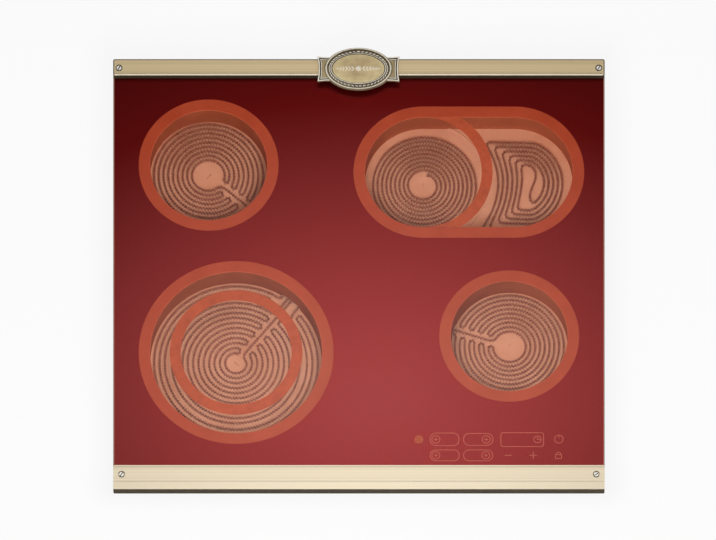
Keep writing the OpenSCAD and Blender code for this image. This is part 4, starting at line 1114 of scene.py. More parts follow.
@dataclass
class RibbonRoute:
    """Routes of the heating ribbons round a zone's middle, with the leads of the round zones towards +X."""

    sag: float = 0.03
    lead_share: float = 0.55
    lead_in: Point = (2.2, 0.5)
    bend: tuple[Point, ...] = ((0.1, 0.45), (0.45, 0.85))
    drop: float = 4.0
    spiral_r: float = 64.0
    spiral_pitch: float = 5.2
    spiral_start: float = -78.0
    spiral_sweep: float = 3388.0
    spiral_side: float = 2.5
    spiral_foot: tuple[Point, ...] = ((0.0, -2.4), (0.7, -0.2))

    def arc_step(self, radius: float) -> float:
        """Returns the angle of a straight step that strays from its arc by the sag."""
        return 2 * math.degrees(math.acos(1 - self.sag / radius))

    def track(self, radius: float, half: float, back: bool) -> list[Point]:
        """Builds one open track from one side of the lead strip round to the other.

        Args:
            radius: Its radius.
            half: Half width of the lead strip.
            back: Whether it runs clockwise.

        Returns:
            The track.
        """
        start = math.degrees(math.asin(half / radius))
        sweep = 360 - 2 * start
        steps = max(4, math.ceil(sweep / self.arc_step(radius)))
        points = [polar(radius, start + sweep * k / steps) for k in range(steps + 1)]
        return points[::-1] if back else points

    @staticmethod
    def hairpin(start: Point, end: Point) -> list[Point]:
        """Builds the half turn between two tracks, bulging towards the lead strip.

        Args:
            start: Where it begins.
            end: Where it ends.

        Returns:
            The points between.
        """
        (mid_x, half_x), (mid_y, half_y) = (((a + b) / 2, (a - b) / 2) for a, b in zip(start, end))
        reach = math.hypot(half_x, half_y) * (-1 if start[1] > 0 else 1)
        turns = [polar(1.0, angle) for angle in range(15, 180, 15)]
        return [(mid_x + half_x * c, mid_y + half_y * c + reach * s) for c, s in turns]

    def meander(self, count: int, radius: float, pitch: float, half: float, out: float,
                return_y: float) -> list[Point]:
        """Builds a meander of tracks with both leads in a bare strip.

        Args:
            count: Number of tracks.
            radius: Radius of the outer track.
            pitch: Distance between tracks.
            half: Half width of the bare strip.
            out: How far the leads run out.
            return_y: Place of the return lead across the strip.

        Returns:
            The route.
        """
        radii = [radius - k * pitch for k in range(count)]
        ends = [math.sqrt(r * r - half * half) for r in radii]
        bend, lead_y = half + return_y, self.lead_share * half
        points = [(out, lead_y), (ends[0] + self.lead_in[0], lead_y), (ends[0] + self.lead_in[1], (lead_y + half) / 2)]
        for k, r in enumerate(radii):
            y = half if k % 2 else -half
            points += self.track(r, half, k % 2 == 1)
            if k < count - 1:
                points += self.hairpin((ends[k], y), (ends[k + 1], y))
        points += [(ends[-1] + x * bend, -half + y * bend) for x, y in self.bend]
        return points + [(ends[-1] + bend, return_y), (out, return_y)]

    def spiral(self, out: float) -> list[Point]:
        """Builds the oval zone's round spiral with its lead towards -Y.

        Args:
            out: How far the lead runs out.

        Returns:
            The route.
        """
        middle, end = (0.0, -self.drop), self.spiral_start + self.spiral_sweep
        lead_x, foot = polar(self.spiral_r, self.spiral_start)[0] - self.spiral_side, -self.spiral_r - self.drop
        points = [(lead_x, -out)] + [(lead_x + x, foot + y) for x, y in self.spiral_foot]
        angle = self.spiral_start + 4
        while angle < end:
            r = self.spiral_r - self.spiral_pitch * (angle - self.spiral_start) / 360
            points.append(polar(r, angle, middle))
            angle += self.arc_step(r)
        return points + [polar(self.spiral_r - self.spiral_pitch * self.spiral_sweep / 360, end, middle)]


def rounded(route: Sequence[Point], spacing: float = 2.5, passes: int = 6) -> list[Point]:
    """Rounds a route's corners.

    Args:
        route: Its points.
        spacing: Distance at which it is sampled again.
        passes: How often each point moves towards its neighbours' mean.

    Returns:
        The rounded route, with its ends in place.
    """
    points = [route[0]]
    for a, b in zip(route, route[1:]):
        count = max(1, round(math.dist(a, b) / spacing))
        points += [(a[0] + (b[0] - a[0]) * i / count, a[1] + (b[1] - a[1]) * i / count) for i in range(1, count + 1)]
    for _ in range(passes):
        inner = [((a[0] + 2 * b[0] + c[0]) / 4, (a[1] + 2 * b[1] + c[1]) / 4)
                 for a, b, c in zip(points, points[1:], points[2:])]
        points = [points[0], *inner, points[-1]]
    return points


@dataclass
class SideRoute:
    """Route of the oval zone's side circuit: nested lines round a core, from the middle of the round end."""

    stretch: float = 109.0
    ridge_r: float = 78.0
    wall_r: float = 70.0
    ridge_room: float = 10.0
    end_room: float = 5.4
    side_room: float = 11.5
    drop: float = 4.0
    pitch: float = 5.6
    start: float = 134.0
    turns: float = 2.878
    sweep: float = 3.0
    core_turn: tuple[Point, ...] = ((-4.6, -16), (-3.2, -8), (0, 0), (3.2, 8), (4.6, 16))
    first_lead: tuple[Point, ...] = ((-4, -5), (-2.5, -1.5))
    last_lead: tuple[Point, ...] = ((-2, 0), (-2.5, -5))
    far: float = 10000.0

    def __post_init__(self) -> None:
        """Derives the core, the side line and the last angle."""
        self.core = ((self.ridge_r + self.ridge_room / 2 + self.stretch + self.wall_r) / 2, -self.drop)
        self.line = self.wall_r - self.side_room
        self.end = self.start + 360 * self.turns

    def reach(self, angle: float, depth: float) -> float:
        """Measures from the core to a line at a depth inside the nearest limit.

        Args:
            angle: Angle about the core, clockwise from +X.
            depth: How far the line lies inside the limit.

        Returns:
            The distance.
        """
        c, s = polar(1.0, angle)
        outer = self.far if abs(s) < 0.001 else (self.line - depth) / abs(s)
        if self.core[0] + outer * c >= self.stretch:
            d = self.core[0] - self.stretch
            wall = self.wall_r - self.end_room - depth
            outer = min(outer, -d * c + math.sqrt(max(0.0, (d * c) ** 2 - d * d + wall * wall)))
        b = self.core[0] * c
        free = self.core[0] ** 2 - (self.ridge_r + self.ridge_room + depth) ** 2
        inner = -b - math.sqrt(b * b - free) if b < 0 and b * b > free else self.far
        return min(outer, inner)

    def arm(self, first: float, last: float, depth: float) -> list[Point]:
        """Builds one arm of the double spiral.

        Args:
            first: Its first angle.
            last: Its last angle.
            depth: How deep it begins.

        Returns:
            The arm.
        """
        count = round((last - first) / self.sweep)
        angles = [first + (last - first) * i / count for i in range(count + 1)]
        gain = 2 * self.pitch / 360
        return [polar(self.reach(a, depth + gain * (a - self.start)), -a, self.core) for a in angles]

    def points(self, out: float) -> list[Point]:
        """Builds the whole route with both leads towards -Y.

        Args:
            out: How far the leads run out.

        Returns:
            The route.
        """
        outer = self.arm(self.start, self.end, 0.0)
        inner = self.arm(self.start, self.end - 180, self.pitch)
        front = -self.line - self.drop
        lead = [(outer[0][0] + x, front + y) for x, y in self.first_lead]
        middle = [(self.core[0] + x, self.core[1] + y) for x, y in self.core_turn]
        tail = [(inner[0][0] + x, front + y) for x, y in self.last_lead]
        return rounded([(lead[0][0], -out), *lead, *outer, *middle, *inner[::-1], *tail, (tail[-1][0], -out)])


@dataclass
class Ribbon:
    """A corrugated strip of resistance alloy, standing on edge along a route."""

    low: float = -37.0
    high: float = -31.6
    wave: float = 3.7
    swing: float = 1.2
    skew: float = 0.6
    strip: float = 0.5
    steps: int = 9

    def waved(self, route: Sequence[Point]) -> list[Point]:
        """Lays the strip's waves on a route.

        Args:
            route: The route.

        Returns:
            The waved route.
        """
        lengths = [0.0]
        for a, b in zip(route, route[1:]):
            lengths.append(lengths[-1] + math.dist(a, b))
        count = int(lengths[-1] / self.wave * self.steps)
        points, k = [], 0
        for i in range(count + 1):
            s = lengths[-1] * i / count
            while k < len(route) - 2 and lengths[k + 1] < s:
                k += 1
            (ax, ay), (bx, by) = route[k], route[k + 1]
            run = max(1e-9, lengths[k + 1] - lengths[k])
            t = (s - lengths[k]) / run
            phase = 2 * math.pi * s / self.wave
            off = self.swing * math.sin(phase + self.skew * math.sin(phase))
            points.append((ax + (bx - ax) * t - (by - ay) / run * off, ay + (by - ay) * t + (bx - ax) / run * off))
        return points

    def build(self, name: str, route: Sequence[Point], place: Point, turn: float) -> Object:
        """Builds one ribbon.

        Args:
            name: Object name.
            route: Its route round the zone's middle.
            place: The zone's middle.
            turn: The zone's turn.

        Returns:
            The ribbon.
        """
        curve = bpy.data.curves.new(name, "CURVE")
        curve.dimensions = "2D"
        curve.fill_mode = "NONE"
        curve.extrude = mm(self.high - self.low) / 2
        points = self.waved(route)
        spline = curve.splines.new("POLY")
        spline.points.add(len(points) - 1)
        spline.points.foreach_set("co", [c for x, y in points for c in (mm(x), mm(y), 0.0, 1.0)])
        obj = bpy.data.objects.new(name, curve)
        bpy.context.scene.collection.objects.link(obj)
        activate(obj)
        bpy.ops.object.convert(target="MESH")
        obj = bpy.context.object
        apply_modifier(obj, "SOLIDIFY", thickness=mm(self.strip), offset=0.0)
        put(obj, name, place, turn, (self.low + self.high) / 2)
        edit_pick(obj, Part.FACE, every)
        end_edit()
        return smooth(obj, 50.0)


@dataclass
class HeatingZone:
    """One round or oval heater: insulating base, ring and ribbons."""

    name: str
    turn: float
    window_r: float
    ribbons: dict[str, list[Point]]
    stretch: float = 0.0
    ring_wall: float = 14.0
    hidden: float = 0.8
    ring_round: float = 0.9
    slot_half: float = 7.85
    slot_in: float = 6.0
    slot_out: float = 2.0
    slot_top: float = -30.0
    slot_x: Point = (8.0, 75.5)
    base_low: float = -45.0
    base_top: float = -37.0
    base_round: float = 1.2
    dent: tuple[Point, Point] = ((-0.9, -4), (0.9, 4))
    dent_depth: float = 2.5
    ring_top: float = 2.96
    steep: float = 0.4
    level: float = 0.97

    def __post_init__(self) -> None:
        """Takes the zone's middle from its CAD base."""
        low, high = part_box(self.name + "_base")
        self.base_r = (high.y - low.y) / 2 * MM
        self.place = (low.x * MM + self.base_r, (low.y + high.y) / 2 * MM)

    def window(self, low: float, high: float) -> Object:
        """Returns the solid that cuts the zone's clear window out of the print."""
        return put(add_prism("window", self.window_r, low, high, self.stretch, 160), "window", self.place)

    def put(self, obj: Object, name: str) -> Object:
        """Turns a piece to the zone's leads, moves it to the zone and names it after both."""
        return put(obj, f"{self.name}_{name}", self.place, self.turn)

    def base(self) -> Object:
        """Builds the pressed base with its rounded rim and what is cut into it.

        Returns:
            The base.
        """
        base = add_prism("base", self.base_r, self.base_low, self.base_top, self.stretch, 128)
        bevel_edges(base, lambda e: lies_at(e, self.base_top), self.base_round, 3)
        return smooth(self.put(cut_with(base, self.base_cuts()), "base_pad"), 30)

    def base_cuts(self) -> list[Object]:
        """Returns the cutter of the short slot in the base's middle."""
        low, high = self.dent
        return [add_box("dent", (*low, self.base_top - self.dent_depth), (*high, self.base_top + 1))]

    def slots(self, inner: float, outer: float) -> list[Object]:
        """Makes the cutters of the lead slots.

        Args:
            inner: The ring's inner radius.
            outer: Its outer radius.

        Returns:
            The cutters.
        """
        low, high, half = self.base_top - 1, self.slot_top, self.slot_half
        near, far = inner - self.slot_in, outer + self.slot_out
        if self.stretch:
            return [add_box("slot", (x - half, -far, low), (x + half, -near, high)) for x in self.slot_x]
        return [add_box("slot", (near, -half, low), (far, half, high))]

    def wall_ring(self, inner: float, outer: float) -> Object:
        """Builds a ring of pressed fibre with a soft inner edge and a lead slot.

        Args:
            inner: Its inner radius.
            outer: Its outer radius.

        Returns:
            The ring.
        """
        ring = add_ring("ring", outer, inner, self.base_top, self.ring_top)
        rim = mm(inner + 0.3)
        bevel_edges(ring, lambda e: lies_at(e, self.ring_top) and all(v.co.xy.length < rim for v in e.verts),
                    self.ring_round, 3)
        stretch_right(ring, self.stretch)
        self.put(cut_with(ring, self.slots(inner, outer)), "wall_ring")
        # Steep wall faces take the darker fibre as painted shade.
        paint_faces(ring, 1, lambda f: f.normal.z < self.steep)
        # Rounded inner edge faces take the lighter fibre as painted highlight.
        paint_faces(ring, 2, lambda f: self.steep <= f.normal.z < self.level)
        return level_faces(smooth(ring, 30))

    def build(self) -> None:
        """Builds and dresses the heater's visible pieces."""
        dress(self.base(), "insulation_base", [self.name + "_base"])
        ring = self.wall_ring(self.window_r - self.ring_wall, self.window_r + self.hidden)
        dress(ring, "insulation_ring", [self.name + "_ring"], ["insulation_ring", "insulation_wall", "ring_edge"])
        for node, route in self.ribbons.items():
            dress(Ribbon().build(node + "_strip", route, self.place, self.turn), "heating_ribbon", [node])


@dataclass
class DividedZone(HeatingZone):
    """A zone with a ridge between its two circuits and a printed band that shows the smaller pan's size."""

    ridge_in: float = 75.6
    ridge_out: float = 78.0
    ridge_h: float = 1.4
    ridge_round: float = 0.8
    band_in: float = 70.0
    band_out: float = 83.0
    band_low: float = 3.025
    band_high: float = 3.055

    def printed_band(self) -> Object:
        """Returns the printed band."""
        return add_ring("band", self.band_out, self.band_in, self.band_low, self.band_high)

    def ridge(self) -> Object:
        """Builds a low rounded ridge that parts two circuits.

        Returns:
            The ridge.
        """
        top = self.base_top + self.ridge_h
        ridge = add_ring("ridge", self.ridge_out, self.ridge_in, self.base_top, top)
        bevel_edges(ridge, lambda e: lies_at(e, top), self.ridge_round, 3)
        return ridge

    def divide(self, ridge: Object, band: Object) -> None:
        """Places and dresses what parts two circuits.

        Args:
            ridge: The ridge on the base.
            band: The printed band above it.
        """
        dress(smooth(self.put(ridge, "circuit_ridge")), "insulation_base", [self.name + "_divider"])
        self.put(band, "printed_band").visible_shadow = False
        dress(band, "ceramic_glass", looks=["band_print"])


@dataclass
class TwoRingZone(DividedZone):
    """The large zone, whose outer circuit runs round the inner one."""

    ridge_in: float = 79.4
    ridge_out: float = 81.8
    ridge_gap: float = 7.85
    band_in: float = 66.6
    band_out: float = 79.6

    def build(self) -> None:
        """Builds the heater, its ridge with a gap for the leads, and the printed band."""
        super().build()
        ridge, gap = self.ridge(), self.ridge_gap
        low, high = (self.ridge_in - 5, -gap, self.base_top - 1), (self.ridge_out + 5, gap, self.base_top + 9)
        cut_with(ridge, [add_box("gap", low, high)])
        self.divide(ridge, self.printed_band())


@dataclass
class OvalZone(DividedZone):
    """The oval zone, with a round and a side circuit and a return rod."""

    dent: tuple[Point, Point] = ((-0.9, -10), (0.9, 0))
    ridge_from: float = 1.0
    band_from: float = 0.5
    rod: Point = (5.2, 10.1)
    rod_r: float = 1.2
    rod_room: float = 0.4
    rod_top: float = 4.2
    rod_depth: float = 4.0

    def base_cuts(self) -> list[Object]:
        """Returns the cutters of the middle slot and the rod's hole."""
        hole = add_rod("rod_hole", self.rod, self.rod_r + self.rod_room, self.base_top - 6, self.base_top + 1, 24)
        return super().base_cuts() + [hole]

    def arc(self, ring: Object, start: float) -> Object:
        """Keeps the part of a ring to the right of a line, between the straight walls.

        Args:
            ring: The full ring.
            start: Place of the line along X.

        Returns:
            The arc.
        """
        half = mm(self.window_r - self.ring_wall)
        edit_pick(ring, Part.FACE, every)
        bpy.ops.mesh.bisect(plane_co=(mm(start), 0, 0), plane_no=(1, 0, 0), clear_inner=True, use_fill=True)
        for side in (1, -1):
            bpy.ops.mesh.select_all(action="SELECT")
            bpy.ops.mesh.bisect(plane_co=(0, side * half, 0), plane_no=(0, side, 0), clear_outer=True, use_fill=True)
        end_edit()
        return ring

    def return_rod(self) -> Object:
        """Builds the return rod that leaves the spiral's inner end through the base.

        Returns:
            The rod.
        """
        (x, y), depth = self.rod, self.base_top - self.rod_depth
        length = self.base_r + y
        upright = add_rod("rod", (x, y), self.rod_r, depth, self.base_top + self.rod_top, 20)
        clear_selection()
        middle = (mm(x), mm(y - length / 2), mm(depth))
        bpy.ops.mesh.primitive_cylinder_add(vertices=20, radius=mm(self.rod_r), depth=mm(length), location=middle,
                                            rotation=(math.pi / 2, 0, 0))
        return smooth(self.put(joined([upright, settle(bpy.context.object, "run")], "rod"), "return_rod"))

    def build(self) -> None:
        """Builds the heater, its ridge, the printed band and the return rod."""
        super().build()
        ridge = self.arc(self.ridge(), self.ridge_from)
        self.divide(ridge, self.arc(self.printed_band(), self.band_from))
        dress(self.return_rod(), "heating_ribbon")


@dataclass
class TrimBar:
    """A brass bar along the front or rear of the glass."""

    side: Side
    half_w: float = 295.0
    glass_half: float = 255.0
    lap: float = 5.0
    out: float = 16.0
    top: float = 18.0
    round_r: float = 2.0
    bead: float = 2.2
    groove: float = 0.7
    skirt: float = 1.6
    floor: float = 0.5
    band: float = 0.0
    band_drop: float = 0.0
    band_round: float = 0.9
    glass_top: float = 7.0
    flange_top: float = 2.5
    wall: float = 2.5
    channel_half: float = 292.3
    screw: Point = (288.0, 259.4)
    recess_r: float = 4.2
    recess_depth: float = 2.2
    bore_r: float = 2.2
    rim_share: float = 0.95
    soft: float = 0.22
    steep: float = 0.35
    level: float = 0.96
    # Slot of the outer top rounding: 1 paints it with shade, 2 with a highlight.
    outer_edge: int = 1
    round_ends: bool = True

    def __post_init__(self) -> None:
        """Derives the distances of the bar's two long sides."""
        self.inner, self.outer = self.glass_half - self.lap, self.glass_half + self.out

    def long_box(self, name: str, y0: float, y1: float, z0: float, z1: float, half: float = 300.0) -> Object:
        """Returns a box along the whole bar, with Y taken outwards from the glass."""
        low, high = sorted((y0 * self.side.value, y1 * self.side.value))
        return add_box(name, (-half, low, z0), (half, high, z1))

    def wedge(self) -> Object:
        """Makes the cutter that slopes the outer band down to the front.

        Returns:
            The cutter.
        """
        side = self.side.value
        cutter = self.long_box("wedge", 0.0, self.band + 9, 0, 15)
        cutter.rotation_euler.x = -side * math.atan((self.band_drop - self.groove / 2) / self.band)
        cutter.location = (0.0, mm(self.outer - self.band) * side, mm(self.top - self.groove / 2))
        return settle(cutter, "wedge")

    def on_rim(self, edge: Any) -> bool:
        """Tells whether an edge runs along the top's front or rear, or round it where the ends are rounded too."""
        along = all(min(abs(abs(v.co.y) - mm(y)) for y in (self.inner, self.outer)) < CLOSE for v in edge.verts)
        return lies_at(edge, self.top) and (self.round_ends or along)

    def on_face(self, edge: Any) -> bool:
        """Tells whether an edge runs along the top of the outer face, where the slope ends."""
        low, high, face = mm(self.top - 4), mm(self.top - 1), mm(self.outer - 0.01)
        return all(low < v.co.z < high and abs(v.co.y) > face for v in edge.verts)

    def cuts(self) -> list[Object]:
        """Makes the cutters of the grooves, the slope and the hollow underside.

        Returns:
            The cutters.
        """
        inner, outer, top, groove, wall = self.inner, self.outer, self.top, self.groove, self.wall
        cuts = [
            self.long_box("pocket", inner - 5, self.glass_half + 0.3, -5, self.glass_top),
            self.long_box("flange_pocket", inner - 5, outer - self.skirt, -5, self.flange_top),
            self.long_box("channel", self.glass_half + 1.9, outer - wall, -5, top - wall - self.band_drop,
                          self.channel_half),
            self.long_box("groove", inner + self.bead, inner + self.bead + groove, top - groove, top + 5),
        ]
        if self.band:
            edge = outer - self.band
            cuts += [self.long_box("band_groove", edge - groove, edge, top - groove / 2, top + 5), self.wedge()]
        return cuts

    def build(self) -> None:
        """Builds and dresses the bar."""
        side, top = self.side.value, self.top
        bar = self.long_box("bar", self.inner, self.outer, self.floor, top, self.half_w)
        bevel_edges(bar, rises, self.round_r, 6)
        bevel_edges(bar, self.on_rim, self.round_r * self.rim_share, 8)
        cut_with(bar, self.cuts())
        if self.band:
            bevel_edges(bar, self.on_face, self.band_round, 4)
        for x in (-self.screw[0], self.screw[0]):
            place = (x, self.screw[1] * side)
            cut_with(bar, [add_rod("recess", place, self.recess_r, top - self.recess_depth, top + 5, 48),
                           add_rod("bore", place, self.bore_r, -5, top, 32)])
        soften(bar, self.soft)
        # Upright faces take the near-black brass as painted shade.
        paint_faces(bar, 1, lambda f: abs(f.normal.z) < self.steep and abs(f.normal.x) < 0.9)
        # Rounded top edges facing the glass take the pale brass as painted highlight; the outer rounding takes painted
        # highlight or painted shade, by outer_edge.
        for index, way in ((2, -side), (self.outer_edge, side)):
            paint_faces(bar, index, lambda f: self.steep < f.normal.z < self.level and f.normal.y * way > 0.2)
        # Rounded ends take the near-black brass as painted shade.
        if self.round_ends:
            paint_faces(bar, 1, lambda f: f.normal.z > 0.2 and abs(f.normal.x) > 0.3)
        name = self.side.name.lower()
        bar.name = name + "_trim_bar"
        dress(bar, name + "_brass", [name + "_trim"], [name + "_brass", "brass_face", "brass_edge"])


@dataclass
class TrimScrews:
    """Four slotted screws that hold the bars."""

    places: tuple[Triple, ...] = (
        (-288.0, 259.4, 60.0), (288.0, 259.4, 62.0), (-285.0, -260.7, 55.0), (285.0, -260.7, 35.0),
    )
    head_r: float = 3.3
    head_round: float = 1.0
    low: float = 15.8
    high: float = 17.9
    slot_half: float = 0.5
    slot_depth: float = 1.1
    shank_r: float = 2.0
    foot: float = 0.7
    soft: float = 0.12

    def screw(self, x: float, y: float, turn: float) -> Object:
        """Builds one screw.

        Args:
            x: Its place along X.
            y: Its place along Y.
            turn: Turn of its slot.

        Returns:
            The screw.
        """
        head = add_rod("head", (0, 0), self.head_r, self.low, self.high, 48)
        bevel_edges(head, lambda e: lies_at(e, self.high), self.head_round, 5)
        slot = add_box("slot", (-5, -self.slot_half, self.high - self.slot_depth), (5, self.slot_half, self.high + 1))
        shank = add_rod("shank", (0, 0), self.shank_r, self.foot, self.low, 32)
        return put(soften(joined([cut_with(head, [slot]), shank], "screw"), self.soft), "screw", (x, y), turn)

    def build(self) -> None:
        """Builds and dresses the set, with painted shade on the slopes and slot floors of the heads."""
        screws = joined([self.screw(*place) for place in self.places], "slotted_screws")
        looks = ("screw_brass", "medallion_hollow")
        set_materials(screws, looks)
        low, high = mm(self.high - self.slot_depth - 0.2), mm(self.high - self.slot_depth + 0.1)
        # Dome slopes and slot floors take near-black brass as painted shade.
        paint_faces(screws, 1, lambda f: f.normal.z < 0.75 or low < f.center.z < high)
        dress(screws, "screw_brass", ["trim_screws"], looks)


@dataclass
class Medallion:
    """The cast oval between two wings on the rear bar, with a rosette and two sprigs in a stippled field."""

    place: Point = (-0.6, 257.0)
    half_w: float = 41.0
    half_d: float = 27.0
    squash: float = 0.89
    foot: float = 18.0
    top: float = 20.6
    rim_steps: tuple[Point, ...] = (
        (0.25, 0.7), (0.5, 0.6), (0.8, 0.5), (0.9, 0.2), (0.5, -0.15),
        (0.5, -0.5), (0.6, 0.0), (0.4, -0.8), (0.3, 0.0),
    )
    border: float = 2.6
    field_steps: tuple[Point, ...] = (
        (0.3, 1.0), (0.9, 0.1), (0.3, -0.9), (0.6, 0.0), (0.3, 0.5), (7.0, 0.15), (8.0, 0.12), (7.0, 0.05),
    )
    # Radius bands of the rim and field: index 3 paints bright rings as painted highlight, index 2 dark grooves as
    # painted shade.
    rim_looks: tuple[Triple, ...] = ((3, 37.9, 39.4), (2, 35.9, 36.8))
    field_looks: tuple[Triple, ...] = ((1, 0.0, 31.4), (2, 31.4, 32.4), (3, 32.4, 33.4), (2, 33.4, 33.7))
    wing_from: float = 26.0
    wing_to: float = 49.3
    waist: float = 15.0
    flare: float = 0.07
    hollow: float = 1.6
    wing_steps: tuple[Point, ...] = (
        (0.3, 0.5), (1.3, 0.0), (0.3, -0.9), (0.9, 0.0), (0.3, 0.7), (0.8, 0.0), (0.3, -0.8),
    )
    # Steps of the wing panel: index 3 as painted highlight, index 2 as painted shade, index 1 as the stippled field.
    wing_looks: tuple[Point, ...] = ((3, 0.5), (2, -0.4), (3, 0.3), (1, -0.5))
    looks: tuple[str, ...] = ("medallion_brass", "medallion_field", "medallion_hollow", "medallion_edge")
    leaf_r: float = 34.9
    leaf_step: float = 8.0
    leaf_lean: float = 18.0
    leaf_squash: float = 0.95
    leaf_low: float = 21.1
    leaf_size: Triple = (1.9, 0.75, 0.8)
    field_low: float = 21.7
    rosette_r: float = 2.6
    petal_size: Triple = (2.0, 1.1, 1.0)
    bead: Triple = (1.3, 21.5, 23.2)
    sprig_from: float = 6.0
    sprig_pitch: float = 3.7
    sprig_tip: float = 25.0
    sprig_shrink: float = 0.09
    sprig_lean: float = 40.0
    stem_size: Triple = (2.4, 0.5, 0.7)
    pair_shift: Point = (1.2, 2.0)
    pair_size: Triple = (2.7, 1.0, 0.95)
    tip_size: Triple = (2.2, 0.8, 0.9)

    def oval(self) -> Object:
        """Builds the oval by stepping insets across its top.

        Returns:
            The oval.
        """
        body = add_rod("oval", (0, 0), self.half_w, self.foot, self.top, 120)
        edit_pick(body, Part.FACE, lambda f: f.normal.z > 0.9)
        step_insets(self.rim_steps)
        bpy.ops.mesh.inset(thickness=mm(self.border))
        bpy.ops.transform.resize(value=(1.0, self.squash, 1.0))
        step_insets(self.field_steps)
        bpy.ops.mesh.select_all(action="SELECT")
        share = self.half_d / self.half_w
        bpy.ops.transform.resize(value=(1.0, share, 1.0))
        end_edit()
        set_materials(body, self.looks)
        # Paints the bright rings as painted highlight and the dark rings as painted shade.
        for looks, flat in ((self.rim_looks, share), (self.field_looks, share * self.squash)):
            for index, inner, outer in looks:
                paint_faces(body, index, lambda f: mm(inner) <= math.hypot(f.center.x, f.center.y / flat) < mm(outer))
        return level_faces(smooth(body, 40))

    def wing_plate(self) -> Object:
        """Builds one wing's flat outline, flared and hollowed at its end.

        Returns:
            The plate, as one face.
        """
        clear_selection()
        low, high = self.wing_from, self.wing_to
        bpy.ops.mesh.primitive_grid_add(x_subdivisions=3, y_subdivisions=4, size=1.0)
        wing = bpy.context.object
        wing.scale = (mm(high - low), mm(2 * self.waist), 1.0)
        put(wing, "wing", ((low + high) / 2, 0.0), 0.0, self.foot)
        for k, wider in ((2, self.flare / 4), (3, self.flare)):
            x = mm(low + (high - low) * k / 3)
            edit_pick(wing, Part.VERT, lambda v: abs(v.co.x - x) < 1e-5)
            bpy.ops.transform.resize(value=(1.0, 1 + wider, 1.0), center_override=(x, 0, 0))
            end_edit(False)
        half = mm(self.waist * (1 + self.flare))
        for share in (-0.5, 0.0, 0.5):
            edit_pick(wing, Part.VERT, lambda v: v.co.x > mm(high - 0.01) and abs(v.co.y - share * half) < 1e-5)
            shift(x=-self.hollow * (1 - share * share))
            end_edit(False)
        edit_pick(wing, Part.FACE, every)
        bpy.ops.mesh.dissolve_faces()
        end_edit(False)
        return wing

    def wing(self, turn: float) -> Object:
        """Builds one wing with its bordered panel.

        Args:
            turn: Way that it looks.

        Returns:
            The wing.
        """
        wing = self.wing_plate()
        edit_pick(wing, Part.FACE, every)
        extrude_up(self.top - self.foot)
        end_edit()
        set_materials(wing, self.looks)
        edit_pick(wing, Part.FACE, lambda f: f.normal.z > 0.9)
        step_insets(self.wing_steps)
        end_edit()
        # Paints the raised steps as painted highlight and the sunk steps as painted shade.
        for index, rise in self.wing_looks:
            level = mm(self.top + rise)
            paint_faces(wing, index, lambda f: f.normal.z > 0.9 and abs(f.center.z - level) < mm(0.03))
        return level_faces(smooth(put(wing, "wing", (0.0, 0.0), turn), 30))

    def leaf(self, place: Point, height: float, turn: float, size: Triple) -> Object:
        """Builds one pointed leaf lying on the relief.

        Args:
            place: The leaf's middle.
            height: Height of its foot.
            turn: Way that its point looks.
            size: Its half length, half width and height.

        Returns:
            The leaf.
        """
        clear_selection()
        bpy.ops.mesh.primitive_uv_sphere_add(segments=16, ring_count=8, radius=1.0)
        leaf = bpy.context.object
        edit_pick(leaf, Part.VERT, lambda v: v.co.x > 0.3)
        bpy.ops.transform.resize(value=(1.25, 0.5, 0.75), center_override=(0.3, 0, 0))
        end_edit(False)
        leaf.scale = [mm(s) for s in size]
        return put(leaf, "leaf", place, turn, height)

    def border_leaves(self) -> list[Object]:
        """Builds the leaves round the border, from the front up both sides.

        Returns:
            The leaves.
        """
        leaves, r = [], self.leaf_r
        flat = r * self.half_d / self.half_w * self.leaf_squash
        for side, lean in ((1, self.leaf_lean), (-1, 180 - self.leaf_lean)):
            for k in range(23):
                t = side * math.radians(self.leaf_step * (k + 0.5))
                along = math.degrees(math.atan2(flat * math.sin(t), r * math.cos(t)))
                place = (r * math.sin(t), -flat * math.cos(t))
                leaves.append(self.leaf(place, self.leaf_low, along + lean, self.leaf_size))
        return leaves

    def garland(self) -> list[Object]:
        """Builds the rosette and the two laurel sprigs in the field.

        Returns:
            Their petals and leaves.
        """
        low, (ahead, aside), (length, width, height) = self.field_low, self.pair_shift, self.pair_size
        leaves = [self.leaf(polar(self.rosette_r, 45 * k), low, 45 * k, self.petal_size) for k in range(8)]
        leaves.append(add_rod("bead", (0, 0), *self.bead, 20))
        for side, way in ((-1, 180), (1, 0)):
            for k in range(5):
                x, small = self.sprig_from + self.sprig_pitch * k, 1.0 - self.sprig_shrink * k
                size = (length * small, width * small, height)
                leaves.append(self.leaf((side * x, 0), low, way, self.stem_size))
                for up in (-1, 1):
                    place = (side * (x + ahead), up * aside * small)
                    leaves.append(self.leaf(place, low, way + side * up * self.sprig_lean, size))
            leaves.append(self.leaf((side * self.sprig_tip, 0), low, way, self.tip_size))
        return leaves

    def build(self) -> None:
        """Builds and dresses the medallion."""
        leaves = self.border_leaves() + self.garland()
        for leaf in leaves:
            set_materials(leaf, self.looks)
            # Every leaf and petal takes the pale brass as painted highlight.
            paint_faces(leaf, 3, every)
            smooth(leaf, 60)
        piece = joined([self.oval(), self.wing(180.0), self.wing(0.0)] + leaves, "cast_medallion")
        dress(put(piece, "cast_medallion", self.place), "medallion_brass", ["medallion"], self.looks)


@dataclass
class CarriedNodes:
    """The CAD pieces that keep their shape, dressed by the record's slots."""

    def build(self) -> None:
        """Gives every CAD node the material of its slot."""
        for row in frame["record"]["subparts"]:
            node, slot = frame["nodes"][row["node"]], row["material_slot"]
            if not node.material_slots:
                node.data.materials.append(None)
            for place in node.material_slots:
                place.material = MATERIALS[slot]
            log.info("%s: CAD piece in %s", row["node"], slot)


